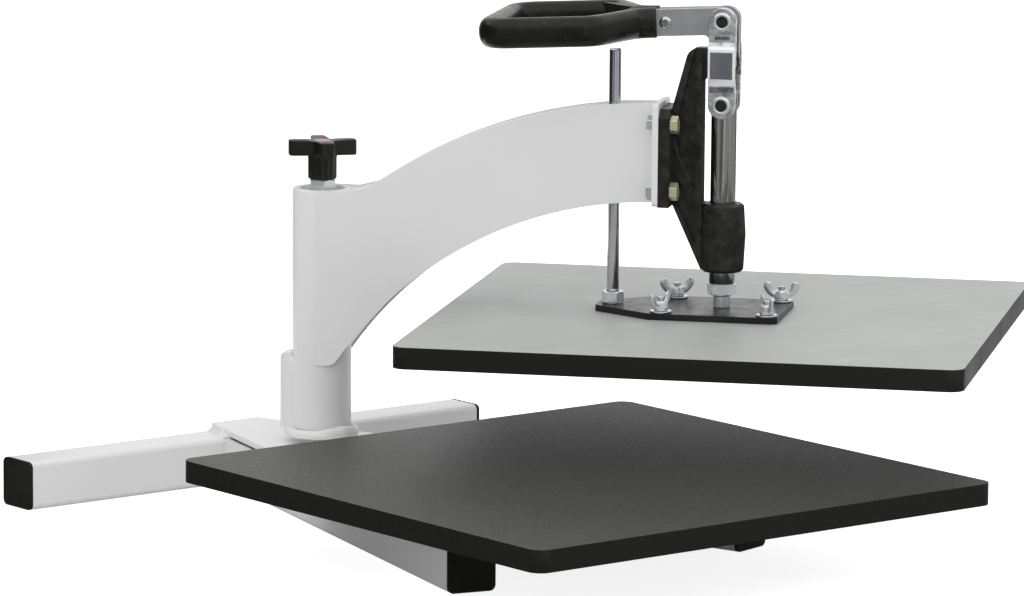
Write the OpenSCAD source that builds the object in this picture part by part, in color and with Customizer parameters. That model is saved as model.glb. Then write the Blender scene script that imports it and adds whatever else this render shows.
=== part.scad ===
// Manual dough press: a fixed lower platen on a V-shaped tube base, and an upper platen
// on a swing arm, driven down by an over-centre toggle clamp.
// Millimetres, +Z up. The origin is the middle of the rear cross tube's underside, the front is -Y.
// The model stands with the arm swung aside, the toggle open and the upper platen raised.

/* [Base] */
// Outer width of the square base tube
tube = 40; // [34:1:46]
// Wall of the base tube
tube_wall = 2.5; // [1.5:0.5:4]
// Outer corner radius of the base tube
tube_corner = 5; // [4.5:0.5:8]
// Length of the rear cross tube without its caps
cross_len = 462; // [400:1:520]
// Length of a leg along its own axis, without its cap
leg_len = 482; // [440:1:520]
// Angle that each leg opens from straight ahead
leg_splay = 14.8; // [12:0.2:18]
// Sideways distance of a leg's axis from the middle, at the cross tube
leg_root = 17.7; // [14:0.1:26]
// Thickness of a cap's outer head
cap_head = 3; // [2:0.5:12]
// Length of a cap's plug inside the tube
cap_plug = 14; // [8:1:20]
// Thickness of the base plate under the column
base_plate_t = 6; // [4:0.5:10]
// Width of the base plate's back edge
base_plate_back = 48; // [36:1:60]
// Length of the base plate in front of the cross tube's axis
base_plate_front = 165; // [150:1:185]
// How far the base plate stands out past the legs' outer sides (below zero: how far it stays inside)
base_plate_margin = -3.5; // [-5:0.5:6]

/* [Platens] */
// Width of each platen
platen_w = 457; // [400:1:500]
// Depth of each platen
platen_d = 454; // [400:1:490]
// Thickness of each platen
platen_t = 17.6; // [14:0.1:22]
// How far the lower platen sits in front of the press axis when the arm points straight ahead
platen_ahead = 10.5; // [0:0.5:20]
// Corner radius of the platens
platen_corner = 12; // [5:1:25]
// Height of the spacers between the legs and the lower platen
spacer_h = 16; // [10:1:25]
// Diameter of the spacers
spacer_d = 24; // [20:1:30]
// Diameter of the lower platen's bolts
platen_bolt_d = 8; // [6:1:10]
// Depth that the bolts reach into the lower platen
platen_bolt_bite = 10; // [6:1:12]
// Distance of the rear bolts from the cross tube, along a leg
rear_bolt = 245; // [235:1:280]
// Distance of the front bolts from the front end of a leg
front_bolt = 37; // [20:1:70]

/* [Column] */
// Distance of the column in front of the cross tube's axis
column_front = 105; // [95:1:120]
// Diameter of the fixed post
post_d = 36; // [32:0.5:40]
// Outer diameter of the arm's sleeve
sleeve_d = 49; // [46:0.5:54]
// Height of the sleeve with its collar
sleeve_h = 207; // [195:1:215]
// Gap between the base plate and the sleeve's collar
post_show = 6; // [5.6:0.1:10]
// Diameter of the collar at the sleeve's foot
collar_d = 62; // [56:1:66]
// Height of the collar
collar_h = 6; // [4:0.5:10]
// Thickness of the threaded plug in the sleeve's top
plug_t = 12; // [8:1:16]
// Depth of the plug below the sleeve's rim
plug_recess = 4; // [1:0.5:5]
// Radial running clearance of the sleeve on the post
post_fit = 0.08; // [0.02:0.01:0.1]
// Thickness of the thrust pad on the post
pad_t = 4; // [2:0.5:6]
// Diameter of the thrust pad
pad_d = 24; // [16:1:30]
// Room under the plug for lowering the arm
lower_room = 14; // [8:1:24]
// Height of the stop lug behind the sleeve
lug_h = 63; // [50:1:80]
// How far the stop lug stands out from the sleeve
lug_reach = 9; // [7:0.5:14]
// Width of the stop lug
lug_w = 18; // [8:1:20]

/* [Height screw] */
// Diameter of the height screw
screw_d = 12; // [10:0.5:14]
// Width of the jam nut across its flats
jam_af = 19; // [18:0.5:22]
// Height of the jam nut
jam_h = 11; // [8:0.5:14]
// Diameter of the knob over its arms
knob_d = 56; // [50:1:66]
// Thickness of the knob's arms
knob_arm_t = 12.5; // [12:0.5:18]
// Width of a knob arm
knob_arm_w = 18; // [14:0.5:20]
// Number of knob arms
knob_arms = 4; // [3:1:5]
// Turn of the knob at rest
knob_turn = 22; // [0:1:60]
// Diameter of the knob's hub
knob_hub_d = 24; // [22:0.5:28]
// Height of the knob's hub below its arms
knob_hub_h = 19.5; // [14:0.5:22]
// Number of flutes around the knob's hub
hub_flutes = 14; // [10:1:18]

/* [Arm] */
// Distance from the column to the press axis
reach = 335; // [325:1:345]
// Swing of the arm from straight ahead, as it stands
swing_rest = 40.2; // [20:0.1:60]
// Thickness of the arm's side plates
arm_plate_t = 4; // [3:0.5:6]
// How far the side plates stand out past the sleeve
arm_proud = 1; // [0.5:0.1:2]
// Width of the arm over its plates at the end flange
arm_end_w = 25; // [22:0.5:25]
// Height of the arm's crown above the sleeve's rim
arm_crown = 80; // [75:1:95]
// Depth of the arm at the end flange
arm_end_depth = 81; // [76:1:86]
// Distance of the arm's shoulder from the column
shoulder_x = 45; // [38:1:55]
// Rise of the arm's shoulder above the sleeve's rim
shoulder_rise = 5; // [3:0.5:12]
// Height of the side plates' lower tip above the collar's underside
tip_rise = 61.8; // [50:0.1:75]
// Distance of that tip from the column's axis, before its corner is rounded
tip_x = 15.2; // [6:0.1:20]
// Radius of the rounded corner at that tip
tip_round = 9; // [4:0.5:12]
// Distance past the end flange where the arm's lower curve is level
level_past = 0.5; // [0:0.5:20]
// Thickness of the arm's top and bottom strips
strip_t = 4; // [3:0.5:6]
// How far the strips sit inside the plates' edges
strip_inset = 1.5; // [1:0.5:4]
// Thickness of the end flange
flange_t = 5; // [4:0.5:10]
// Width of the end flange and the clamp's flange
flange_w = 58; // [50:1:62]
// Height of the end flange
flange_h = 84; // [80:1:98]
// Gap left at welded curved joints
weld_gap = 0.1; // [0.05:0.05:0.2]

/* [Clamp] */
// Distance from the press axis back to the clamp's mounting face
clamp_back = 49.2; // [48:0.1:56]
// Thickness of the clamp's flange
clamp_flange_t = 9; // [7:0.5:11]
// Height of the clamp's flange
clamp_flange_h = 80; // [76:1:84]
// Distance of the clamp's middle below the middle of the arm's end
clamp_drop = 2.5; // [2:0.5:6]
// Height of the main pivot above the middle of the arm's end
pivot_rise = 75; // [68:0.5:78]
// Radius of the casting around the main pivot
pivot_boss_r = 11.5; // [11:0.5:14]
// Thickness of the casting's web
web_t = 12; // [10:0.5:14]
// Thickness of the casting over its ribs
rib_t = 18; // [15:0.5:20]
// Width of the casting's ribs
rib_w = 5; // [4:0.5:7]
// Distance of the web's front edge from the press axis
web_front = 16.9; // [14:0.1:18]
// Distance of the upper corner of the web from the press axis
web_corner = 28; // [24:0.5:30]
// Radius of that corner
web_round = 10; // [6:0.5:12]
// Diameter of the guide boss at its ends
boss_d = 35; // [32:0.5:36]
// Diameter of the guide boss at its middle
boss_mid_d = 38; // [34:0.5:40]
// Height of the guide boss
boss_h = 56; // [50:1:60]
// Diameter of the clamp bolts
clamp_bolt_d = 8; // [5:0.5:9]
// Spacing of the clamp bolts across the arm
clamp_bolt_y = 42; // [37:0.2:44]
// Spacing of the clamp bolts in height
clamp_bolt_z = 54.6; // [50:0.2:62]
// Width of a clamp bolt's head across its flats
clamp_head_af = 13; // [9:0.5:14]
// Width of a clamp nut across its flats
clamp_nut_af = 13; // [10:0.5:14]

/* [Toggle] */
// Length of the link between its pins, which is also the stroke
link_len = 68.3; // [64:0.1:70]
// Radius of the link's ends
link_end_r = 11.2; // [10:0.1:12]
// Thickness of a link plate
link_t = 4; // [3:0.5:5]
// Diameter of the main pivot pin
pivot_pin_d = 12; // [10:0.5:13]
// Outer diameter of the link's hollow pins
link_pin_d = 11; // [9:0.5:12]
// Bore of the link's hollow pins
link_pin_bore = 8; // [6:0.5:9]
// Diameter of the rolled pin heads
pin_head_d = 14; // [13:0.5:16]
// Thickness of the rolled pin heads
pin_head_t = 1.8; // [1:0.2:2.4]
// Diameter of the main pivot pin's heads
pivot_head_d = 18; // [15:0.5:20]
// Thickness of the main pivot pin's heads
pivot_head_t = 3; // [2:0.5:4]
// Radial running clearance of the pins
pin_fit = 0.05; // [0.02:0.01:0.1]
// Side clearance between the moving plates
side_gap = 0.5; // [0.3:0.1:0.8]

/* [Handle] */
// Thickness of the handle's strap
strap_t = 4; // [3:0.5:5]
// Height of the handle's strap
strap_h = 22; // [20:0.5:24]
// Radius of the strap around the main pivot
strap_leg_r = 11; // [10:0.5:13]
// Droop of the handle from level
handle_droop = 3; // [0:0.5:4]
// Distance from the upper link pin to the grip's end
grip_start = 57; // [52:1:62]
// Length of the grip's narrow neck
neck_len = 14; // [8:1:20]
// Distance from the upper link pin to the full width of the loop
flare_end = 113; // [105:1:125]
// Distance from the upper link pin to the loop's far bar
loop_end = 185.5; // [175:0.5:205]
// Half width of the loop between its strap's middle lines
loop_half = 64; // [45:1:70]
// Bend radius of the loop's corners
loop_bend = 18; // [14:1:24]
// Thickness of the grip
grip_w = 18; // [15:0.5:20]
// Height of the grip
grip_h = 25; // [24.5:0.5:28]
// Distance of the rivet from the upper link pin
rivet_at = 47.5; // [42:0.5:50]
// Diameter of the rivet
rivet_d = 6; // [4:0.5:8]

/* [Ram] */
// Diameter of the plunger
plunger_d = 21; // [18:0.5:22]
// Radial running clearance of the plunger in its boss
plunger_fit = 0.08; // [0.02:0.01:0.1]
// Length of the plunger that shows under the guide boss with the toggle open
plunger_show = 9.85; // [7:0.05:14]
// Length of the plunger above its pin
plunger_above = 10; // [8.5:0.5:12]
// Width of the plunger's jam nut across its flats
plunger_nut_af = 22; // [20:0.5:24]
// Height of the plunger's jam nut
plunger_nut_h = 9.5; // [8:0.5:11]
// Diameter of the stud under the plunger
ram_stud_d = 12; // [10:0.5:14]
// Length of that stud above the bracket
ram_stud_show = 10.5; // [8:0.5:12]
// Thickness of the platen bracket
bracket_t = 5.3; // [4:0.1:8]
// Half length of the bracket's square part
bracket_half = 53; // [50:1:58]
// Width of the platen bracket
bracket_w = 96; // [92:1:104]
// Distance from the press axis to the bracket's narrow tip
bracket_tip = 102.5; // [98:0.5:115]
// Width of the bracket's narrow tip
bracket_tip_w = 26; // [22:1:34]
// Spacing of the bracket's studs along the arm
stud_along = 87; // [80:1:92]
// Spacing of the bracket's studs across the arm
stud_across = 78; // [72:1:82]
// Diameter of the bracket's studs
stud_d = 6; // [5:0.5:8]
// Depth of the studs in the upper platen
stud_bite = 8; // [6:0.5:12]
// Diameter of the washers
washer_d = 18; // [16:0.5:20]
// Thickness of the washers
washer_t = 1.6; // [1:0.2:2.4]
// Height of a wing nut's hub
wing_hub_h = 8; // [6:0.5:10]
// Span of a wing nut over its wings
wing_span = 30; // [26:1:38]
// Height of a wing nut's tips above its seat
wing_h = 15; // [12:0.5:18]
// Distance of the guide rod behind the press axis
rod_back = 90.3; // [86:0.1:95]
// Diameter of the guide rod
rod_d = 10; // [8:0.5:12]
// Length of the guide rod above the bracket
rod_len = 210; // [200:1:212]
// Radial clearance of the guide rod in the arm
rod_fit = 0.3; // [0.2:0.05:0.5]
// Width of the guide rod's nut across its flats
rod_nut_af = 16; // [14:0.5:18]
// Height of the guide rod's nut
rod_nut_h = 10; // [8:0.5:12]
// Radial clearance of fixed bolts, studs and plugs
bolt_fit = 0.1; // [0.05:0.05:0.3]

/* [Hidden] */
$fn = 64;
arc_fn = 180;
far = 2000;
base_top = tube + base_plate_t;
lower_z = tube + spacer_h;
collar_z = base_top + post_show;
sleeve_r = sleeve_d / 2;
sleeve_bore_r = post_d / 2 + post_fit;
rim_z = collar_z + sleeve_h;
plug_top = rim_z - plug_recess;
pad_top = plug_top - plug_t - lower_room;
post_top = pad_top - pad_t;
jam_top = plug_top + jam_h;
knob_gap = 0.3;
knob_z = jam_top + knob_gap;
knob_arm_z = knob_z + knob_hub_h;
knob_top = knob_arm_z + knob_arm_t;
insert_d = screw_d + 2;
insert_t = 1.2;
arm_end = reach - clamp_back - flange_t;
crown_z = rim_z + arm_crown;
arm_low_z = crown_z - arm_end_depth;
arm_mid_z = crown_z - arm_end_depth / 2;
shoulder_z = rim_z + shoulder_rise;
tip_z = collar_z + tip_rise;
top_rise = crown_z - shoulder_z;
top_run = arm_end - shoulder_x;
top_r = (top_run * top_run + top_rise * top_rise) / (2 * top_rise);
low_x = arm_end + level_past;
low_rise = arm_low_z - tip_z;
low_run = low_x - tip_x;
low_r = (low_run * low_run + low_rise * low_rise) / (2 * low_rise);
low_centre = [low_x, arm_low_z - low_r];
plate_offset = sleeve_r + arm_proud;
plate_turn = atan((plate_offset - arm_end_w / 2) / arm_end);
crank = link_len / 2;
stroke = link_len;
pivot_z = arm_mid_z + pivot_rise;
handle_pin_z = pivot_z + crank;
eye_z = handle_pin_z - link_len;
link_foot_gap = 2;
boss_top = eye_z - stroke - link_end_r - link_foot_gap;
boss_z = boss_top - boss_h;
strap_in = web_t / 2 + side_gap;
strap_mid = strap_in + strap_t / 2;
strap_out = strap_in + strap_t;
link_in = max(strap_out, plunger_d / 2) + side_gap;
joggle = pivot_head_t + side_gap - (link_in - strap_out) + side_gap;
link_out = link_in + link_t;
joggle_half = pivot_head_d / 2 + 3;
joggle_ramp = 5;
clamp_mid_z = arm_mid_z - clamp_drop;
clamp_z = clamp_mid_z - clamp_flange_h / 2;
clamp_face = clamp_flange_t - clamp_back;
clamp_nut_h = 0.8 * clamp_bolt_d;
plunger_z = boss_z - plunger_show;
plunger_nut_z = plunger_z - plunger_nut_h;
bracket_top = plunger_nut_z - ram_stud_show;
upper_top = bracket_top - bracket_t;
upper_z = upper_top - platen_t;
washer_top = bracket_top + washer_t;
stud_top = washer_top + wing_hub_h + 3;
wing_turns = [68, -62, 28, 5];

// Frames

// Places children in the arm's frame: x from the column along the arm, y across it, z up
module arm_frame() {
    translate([0, -column_front, 0]) rotate([0, 0, swing_rest - 90]) children();
}

// Places children in the arm's frame with x counted from the press axis
module press_frame() {
    arm_frame() translate([reach, 0, 0]) children();
}

// Places children at the start of a leg, which then runs along -Y
module leg_frame(side) {
    translate([side * leg_root, -tube / 2, 0]) rotate([0, 0, side * leg_splay]) children();
}

// Extrudes an x-z outline across the arm, from y = a to y = b
module across(a, b) {
    translate([0, b, 0]) rotate([90, 0, 0]) linear_extrude(b - a) children();
}

// Extrudes a y-z outline along the arm, from x = a to x = b
module along(a, b) {
    translate([a, 0, 0]) rotate([90, 0, 90]) linear_extrude(b - a) children();
}

// A round bar or bore across the arm, centred on y = 0
module cross_pin(d, length) {
    rotate([90, 0, 0]) cylinder(d = d, h = length, center = true);
}

// Shared shapes

// A vector's direction
function unit(v) = v / norm(v);

// A rectangle with round corners, centred
module rounded_rectangle(w, h, r) {
    square([w - 2 * r, h], center = true);
    square([w, h - 2 * r], center = true);
    for (x = [-1, 1], y = [-1, 1]) translate([x * (w / 2 - r), y * (h / 2 - r)]) circle(r);
}

// The square tube's outline, less a reduction all round, standing on the bench
module tube_outline(less) {
    translate([0, tube / 2]) rounded_rectangle(tube - 2 * less, tube - 2 * less, tube_corner - less);
}

// The section of the square tube
module tube_section() {
    difference() {
        tube_outline(0);
        tube_outline(tube_wall);
    }
}

// What is cut off the corner b of an outline, between its neighbours a and c, to round it
module corner_cut(a, b, c, r) {
    u = unit(a - b);
    w = unit(c - b);
    half = acos(u * w) / 2;
    centre = b + unit(u + w) * r / sin(half);
    past = 1.2;
    touch = [for (v = [u, w]) b + v * r / tan(half) - centre];
    difference() {
        polygon([centre, centre + past * touch[0], centre + past * (b - centre), centre + past * touch[1]]);
        translate(centre) circle(r);
    }
}

// A strip between two points of an outline
module bar(a, b, w) {
    translate(a) rotate(atan2(b.y - a.y, b.x - a.x)) translate([0, -w / 2]) square([norm(b - a), w]);
}

// A hexagon given by its width across flats
module hexagon(af) {
    circle(d = af / cos(30), $fn = 6);
}

// A hexagon nut with its bore, standing on z = 0
module hex_nut(af, h, bore) {
    linear_extrude(h) difference() {
        hexagon(af);
        circle(d = bore);
    }
}

// A plug cap for the tube's end: the head stands at y < 0 and the plug at y > 0
module tube_cap() {
    along_y = [90, 0, 0];
    rotate(along_y) linear_extrude(cap_head) tube_outline(0);
    translate([0, cap_plug, 0]) rotate(along_y) linear_extrude(cap_plug)
        tube_outline(tube_wall + bolt_fit);
}

// The outline of a platen with its corners rounded
module platen_plate() {
    linear_extrude(platen_t) rounded_rectangle(platen_w, platen_d, platen_corner);
}

// Base

module cross_tube() {
    color("whitesmoke") rotate([0, 0, 90]) rotate([90, 0, 0])
        linear_extrude(cross_len, center = true) tube_section();
}

// Children at the two bolt places of a leg, in the leg's frame
module leg_bolts() {
    for (d = [rear_bolt, leg_len - front_bolt]) translate([0, -d, 0]) children();
}

module leg(side) {
    start = tube;
    access_d = 2 * platen_bolt_d + 2;
    color("whitesmoke") difference() {
        leg_frame(side) difference() {
            translate([0, start, 0]) rotate([90, 0, 0]) linear_extrude(leg_len + start) tube_section();
            leg_bolts() {
                cylinder(d = access_d, h = 2 * tube_wall + 2, center = true);
                translate([0, 0, tube / 2]) cylinder(r = platen_bolt_d / 2 + bolt_fit, h = tube);
            }
        }
        translate([-far / 2, -tube / 2, -1]) cube([far, far, far]);
        translate([side > 0 ? -far : 0, -far, -1]) cube([far, 2 * far, far]);
    }
}

module left_leg() {
    leg(-1);
}

module right_leg() {
    leg(1);
}

module cross_tube_caps() {
    color([0.06, 0.06, 0.06]) for (side = [-1, 1])
        rotate([0, 0, side * 90]) translate([0, -cross_len / 2, 0]) tube_cap();
}

module leg_caps() {
    color([0.06, 0.06, 0.06]) for (side = [-1, 1])
        leg_frame(side) translate([0, -leg_len, 0]) tube_cap();
}

// Half width of the base plate at a distance in front of the cross tube's axis
function plate_half(front) =
    leg_root + (front - tube / 2) * tan(leg_splay) + tube / 2 / cos(leg_splay) + base_plate_margin;

module base_plate() {
    back = tube / 2 - 2;
    flare = tube / 10;
    half = [
        [base_plate_back / 2, back],
        [plate_half(flare), -flare],
        [plate_half(base_plate_front), -base_plate_front]
    ];
    outline = concat(half, [for (i = [2:-1:0]) [-half[i].x, half[i].y]]);
    color("whitesmoke") translate([0, 0, tube]) linear_extrude(base_plate_t) polygon(outline);
}

module post() {
    chamfer = 1.5;
    h = post_top - base_top;
    color("gainsboro") translate([0, -column_front, base_top]) {
        cylinder(d = post_d, h = h - chamfer);
        translate([0, 0, h - chamfer]) cylinder(d1 = post_d, d2 = post_d - 2 * chamfer, h = chamfer);
    }
}

module lower_platen() {
    color([0.16, 0.16, 0.16]) difference() {
        translate([0, -column_front - reach - platen_ahead, lower_z]) platen_plate();
        for (side = [-1, 1]) leg_frame(side) leg_bolts() translate([0, 0, lower_z - 1])
            cylinder(r = platen_bolt_d / 2 + bolt_fit, h = platen_bolt_bite + 1.5);
    }
}

module platen_spacers() {
    color("silver") for (side = [-1, 1]) leg_frame(side) leg_bolts() translate([0, 0, tube])
        difference() {
            cylinder(d = spacer_d, h = spacer_h);
            translate([0, 0, -1]) cylinder(r = platen_bolt_d / 2 + bolt_fit, h = spacer_h + 2);
        }
}

module platen_bolts() {
    under = tube - tube_wall;
    head_h = 0.65 * platen_bolt_d;
    color("silver") for (side = [-1, 1]) leg_frame(side) leg_bolts() {
        translate([0, 0, under - head_h]) linear_extrude(head_h) hexagon(1.6 * platen_bolt_d);
        translate([0, 0, under - head_h / 2])
            cylinder(d = platen_bolt_d, h = lower_z + platen_bolt_bite - under + head_h / 2);
    }
}

// Column head

module thrust_pad() {
    color("peru") translate([0, -column_front, post_top]) cylinder(d = pad_d, h = pad_t);
}

module sleeve() {
    color("whitesmoke") translate([0, -column_front, collar_z + collar_h]) difference() {
        cylinder(r = sleeve_r, h = sleeve_h - collar_h);
        translate([0, 0, -1]) cylinder(r = sleeve_bore_r, h = sleeve_h);
    }
}

module sleeve_collar() {
    edge = 1.5;
    color("whitesmoke") translate([0, -column_front, collar_z]) difference() {
        union() {
            cylinder(d = collar_d, h = collar_h - edge);
            translate([0, 0, collar_h - edge])
                cylinder(d1 = collar_d, d2 = collar_d - 2 * edge, h = edge);
        }
        translate([0, 0, -1]) cylinder(r = sleeve_bore_r, h = collar_h + 2);
    }
}

module sleeve_plug() {
    color("gainsboro") translate([0, -column_front, plug_top - plug_t]) difference() {
        cylinder(r = sleeve_bore_r - weld_gap, h = plug_t);
        translate([0, 0, -1]) cylinder(r = screw_d / 2 + bolt_fit, h = plug_t + 2);
    }
}

module stop_lug() {
    corner = 4;
    out = sleeve_r + lug_reach;
    foot = collar_z + collar_h;
    color("whitesmoke") arm_frame() difference() {
        across(-lug_w / 2, lug_w / 2) {
            translate([-out, foot]) square([lug_reach + sleeve_r / 2, lug_h - corner]);
            translate([corner - out, foot]) square([lug_reach + sleeve_r / 2 - corner, lug_h]);
            translate([corner - out, foot + lug_h - corner]) circle(corner);
        }
        translate([0, 0, collar_z]) cylinder(r = sleeve_r + weld_gap, h = sleeve_h);
    }
}

module jam_nut() {
    color("silver") translate([0, -column_front, plug_top])
        hex_nut(jam_af, jam_h, screw_d + 2 * bolt_fit);
}

// Height screw

module star_knob() {
    tip_r = knob_arm_w * 0.22;
    hub_r = knob_hub_d / 2;
    flute_r = PI * hub_r / hub_flutes / 2.2;
    body_r = knob_arm_w * 0.75;
    color([0.07, 0.07, 0.07]) translate([0, -column_front, 0]) difference() {
        union() {
            translate([0, 0, knob_arm_z]) rotate(swing_rest + knob_turn) linear_extrude(knob_arm_t) {
                circle(body_r);
                for (i = [0:knob_arms - 1]) rotate(i * 360 / knob_arms) translate([knob_d / 4, 0])
                    rounded_rectangle(knob_d / 2, knob_arm_w, tip_r);
            }
            translate([0, 0, knob_z]) cylinder(r = hub_r, h = knob_hub_h + 1);
        }
        for (i = [0:hub_flutes - 1]) rotate((i + 0.5) * 360 / hub_flutes) translate([hub_r, 0, knob_z - 1])
            cylinder(r = flute_r, h = knob_hub_h - 1, $fn = 24);
        translate([0, 0, knob_z - 1])
            cylinder(r = screw_d / 2 + bolt_fit, h = knob_top - knob_z - insert_t - 1);
        translate([0, 0, knob_top - insert_t]) cylinder(r = insert_d / 2 + bolt_fit, h = insert_t + 1);
    }
}

module knob_insert() {
    color([0.72, 0.45, 0.32]) translate([0, -column_front, knob_top - insert_t])
        cylinder(d = insert_d, h = insert_t);
}

module knob_screw() {
    end = knob_top - insert_t - 3;
    color("silver") translate([0, -column_front, pad_top]) cylinder(d = screw_d, h = end - pad_top);
}

// Arm

// Everything under the arm's upper edge: the crown's arc, then the shoulder down to the sleeve
module below_top_edge() {
    intersection() {
        translate([arm_end, crown_z - top_r]) circle(top_r, $fn = arc_fn);
        square([arm_end, far]);
    }
    polygon([
        [0, collar_z], [0, rim_z], [sleeve_r + 2, rim_z], [shoulder_x, shoulder_z], [shoulder_x, collar_z]
    ]);
}

module low_arc(more) {
    translate(low_centre) circle(low_r + more, $fn = arc_fn);
}

// What is cut off where the lower curve meets the level tip, to leave a round corner
module tip_corner() {
    past = tip_round + 2;
    rise = tip_z + tip_round - low_centre.y;
    run = sqrt((low_r + tip_round) ^ 2 - rise * rise);
    centre = low_centre + [-run, rise];
    inward = past * unit([run, -rise]);
    down = [0, -past];
    difference() {
        polygon([centre, centre + down, centre + down + inward, centre + inward]);
        translate(centre) circle(tip_round);
    }
}

// The side plate's outline, with its lower tip cut level
module arm_outline() {
    difference() {
        below_top_edge();
        low_arc(0);
        tip_corner();
        translate([-1, 0]) square([far, tip_z]);
    }
}

// One side plate: flat, laid against the sleeve and drawn in towards the end flange
module arm_plate(side) {
    color("whitesmoke") arm_frame() difference() {
        translate([0, side * plate_offset, 0]) rotate([0, 0, -side * plate_turn])
            across(side > 0 ? -arm_plate_t : 0, side > 0 ? 0 : arm_plate_t) arm_outline();
        translate([0, 0, collar_z]) cylinder(r = sleeve_r + weld_gap, h = sleeve_h + 1);
        translate([arm_end, -far / 2, 0]) cube([far, far, far]);
    }
}

module near_arm_plate() {
    arm_plate(-1);
}

module far_arm_plate() {
    arm_plate(1);
}

// Keeps what lies between the side plates, the sleeve and the end flange, and bores it for the guide rod
module between_plates() {
    root = plate_offset - arm_plate_t / cos(plate_turn);
    slope = tan(plate_turn);
    tail = root - arm_end * slope;
    color("whitesmoke") arm_frame() difference() {
        intersection() {
            across(-plate_offset, plate_offset) children();
            linear_extrude(far) polygon([[0, -root], [arm_end, -tail], [arm_end, tail], [0, root]]);
        }
        translate([0, 0, collar_z]) cylinder(r = sleeve_r + weld_gap, h = sleeve_h + 1);
        translate([reach - rod_back, 0, 0]) cylinder(r = rod_d / 2 + rod_fit, h = far);
    }
}

module arm_top_strip() {
    between_plates() difference() {
        translate([0, -strip_inset]) below_top_edge();
        translate([0, -strip_inset - strip_t]) below_top_edge();
    }
}

module arm_bottom_strip() {
    between_plates() intersection() {
        arm_outline();
        difference() {
            low_arc(strip_inset + strip_t);
            low_arc(strip_inset);
        }
    }
}

// Children at the four clamp bolts, with x from the press axis
module clamp_bolt_places() {
    for (y = [-1, 1], z = [-1, 1])
        translate([0, y * clamp_bolt_y / 2, clamp_mid_z + z * clamp_bolt_z / 2])
            rotate([0, 90, 0]) children();
}

// A bore for the clamp bolts through both flanges
module clamp_bolt_bores() {
    translate([-clamp_back - flange_t - 1, 0, 0]) clamp_bolt_places()
        cylinder(r = clamp_bolt_d / 2 + bolt_fit, h = flange_t + clamp_flange_t + 2);
}

module end_flange() {
    color("whitesmoke") press_frame() difference() {
        along(-clamp_back - flange_t, -clamp_back)
            translate([0, arm_mid_z]) rounded_rectangle(flange_w, flange_h, 3);
        clamp_bolt_bores();
    }
}

// Clamp

// The casting's web: from the flange up to the main pivot and down to the guide boss
module clamp_web() {
    top = clamp_z + clamp_flange_h;
    shoulder = [clamp_face - 1, top];
    corner = [-web_corner, pivot_z + pivot_boss_r];
    crest = [0, pivot_z + pivot_boss_r];
    difference() {
        clamp_web_outline(shoulder, corner, crest);
        corner_cut(shoulder, corner, crest, web_round);
    }
    translate([0, pivot_z]) circle(pivot_boss_r);
}

// The web with its upper corner still sharp
module clamp_web_outline(shoulder, corner, crest) {
    polygon([
        [clamp_face - 1, clamp_z + 2],
        shoulder,
        corner,
        crest,
        [0, pivot_z - pivot_boss_r],
        [-web_front + 4, pivot_z - pivot_boss_r],
        [-web_front, pivot_z - pivot_boss_r - 5],
        [-web_front, boss_top],
        [0, boss_top],
        [0, boss_z + 2],
        [-boss_d / 2 + 1, boss_z + 2]
    ]);
}

// The casting's raised ribs along its edges and across the web
module clamp_ribs() {
    top = clamp_z + clamp_flange_h;
    intersection() {
        clamp_web();
        union() {
            bar([clamp_face - 1, top - 6], [-web_corner, pivot_z + pivot_boss_r], 2 * rib_w);
            bar([-web_front - rib_w / 2, boss_top - 5], [-web_front - rib_w / 2, pivot_z], rib_w);
            bar([clamp_face - 2, clamp_mid_z - 2], [-web_front - 1, boss_top - 2], 1.4 * rib_w);
            bar([clamp_face - 2, clamp_z], [-boss_d / 2 + 2, boss_z], 2 * rib_w);
            bar([-boss_d / 2 - 1, boss_z], [-boss_d / 2 - 1, boss_top + 2], rib_w);
        }
    }
}

// The flange's outline across the arm, with its upper corners cut off
module clamp_flange_outline() {
    half = flange_w / 2;
    cut = 7;
    top = clamp_z + clamp_flange_h;
    polygon([
        [-half, clamp_z], [half, clamp_z], [half, top - cut],
        [half - cut, top], [cut - half, top], [-half, top - cut]
    ]);
}

module clamp_body() {
    edge = 2;
    color([0.09, 0.09, 0.09]) press_frame() difference() {
        union() {
            along(-clamp_back, clamp_face) clamp_flange_outline();
            across(-web_t / 2, web_t / 2) clamp_web();
            across(-rib_t / 2, rib_t / 2) clamp_ribs();
            rotate_extrude() polygon([
                [0, boss_z], [boss_d / 2 - edge, boss_z], [boss_d / 2, boss_z + edge],
                [boss_mid_d / 2, boss_z + boss_h * 0.55], [boss_d / 2, boss_top - edge],
                [boss_d / 2 - edge, boss_top], [0, boss_top]
            ]);
        }
        translate([0, 0, boss_z - 1]) cylinder(r = plunger_d / 2 + plunger_fit, h = boss_h + 2);
        translate([0, 0, pivot_z]) cross_pin(pivot_pin_d + 2 * pin_fit, far);
        clamp_bolt_bores();
    }
}

module clamp_bolts() {
    head_h = 0.65 * clamp_bolt_d;
    shank = flange_t + clamp_flange_t + clamp_nut_h;
    color("silver") press_frame() translate([-clamp_back - flange_t, 0, 0]) clamp_bolt_places() {
        translate([0, 0, -head_h]) linear_extrude(head_h) hexagon(clamp_head_af);
        translate([0, 0, -1]) cylinder(d = clamp_bolt_d, h = shank + 1);
    }
}

module clamp_nuts() {
    color([0.8, 0.72, 0.42]) press_frame() translate([clamp_face, 0, 0]) clamp_bolt_places()
        hex_nut(clamp_nut_af, clamp_nut_h, clamp_bolt_d + 2 * bolt_fit);
}

module main_pivot_pin() {
    gap = side_gap / 2;
    color("silver") press_frame() translate([0, 0, pivot_z]) {
        cross_pin(pivot_pin_d, 2 * (strap_out + gap) + 1);
        for (side = [-1, 1]) translate([0, side * (strap_out + gap + pivot_head_t / 2), 0])
            cross_pin(pivot_head_d, pivot_head_t);
    }
}

// Handle

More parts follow.
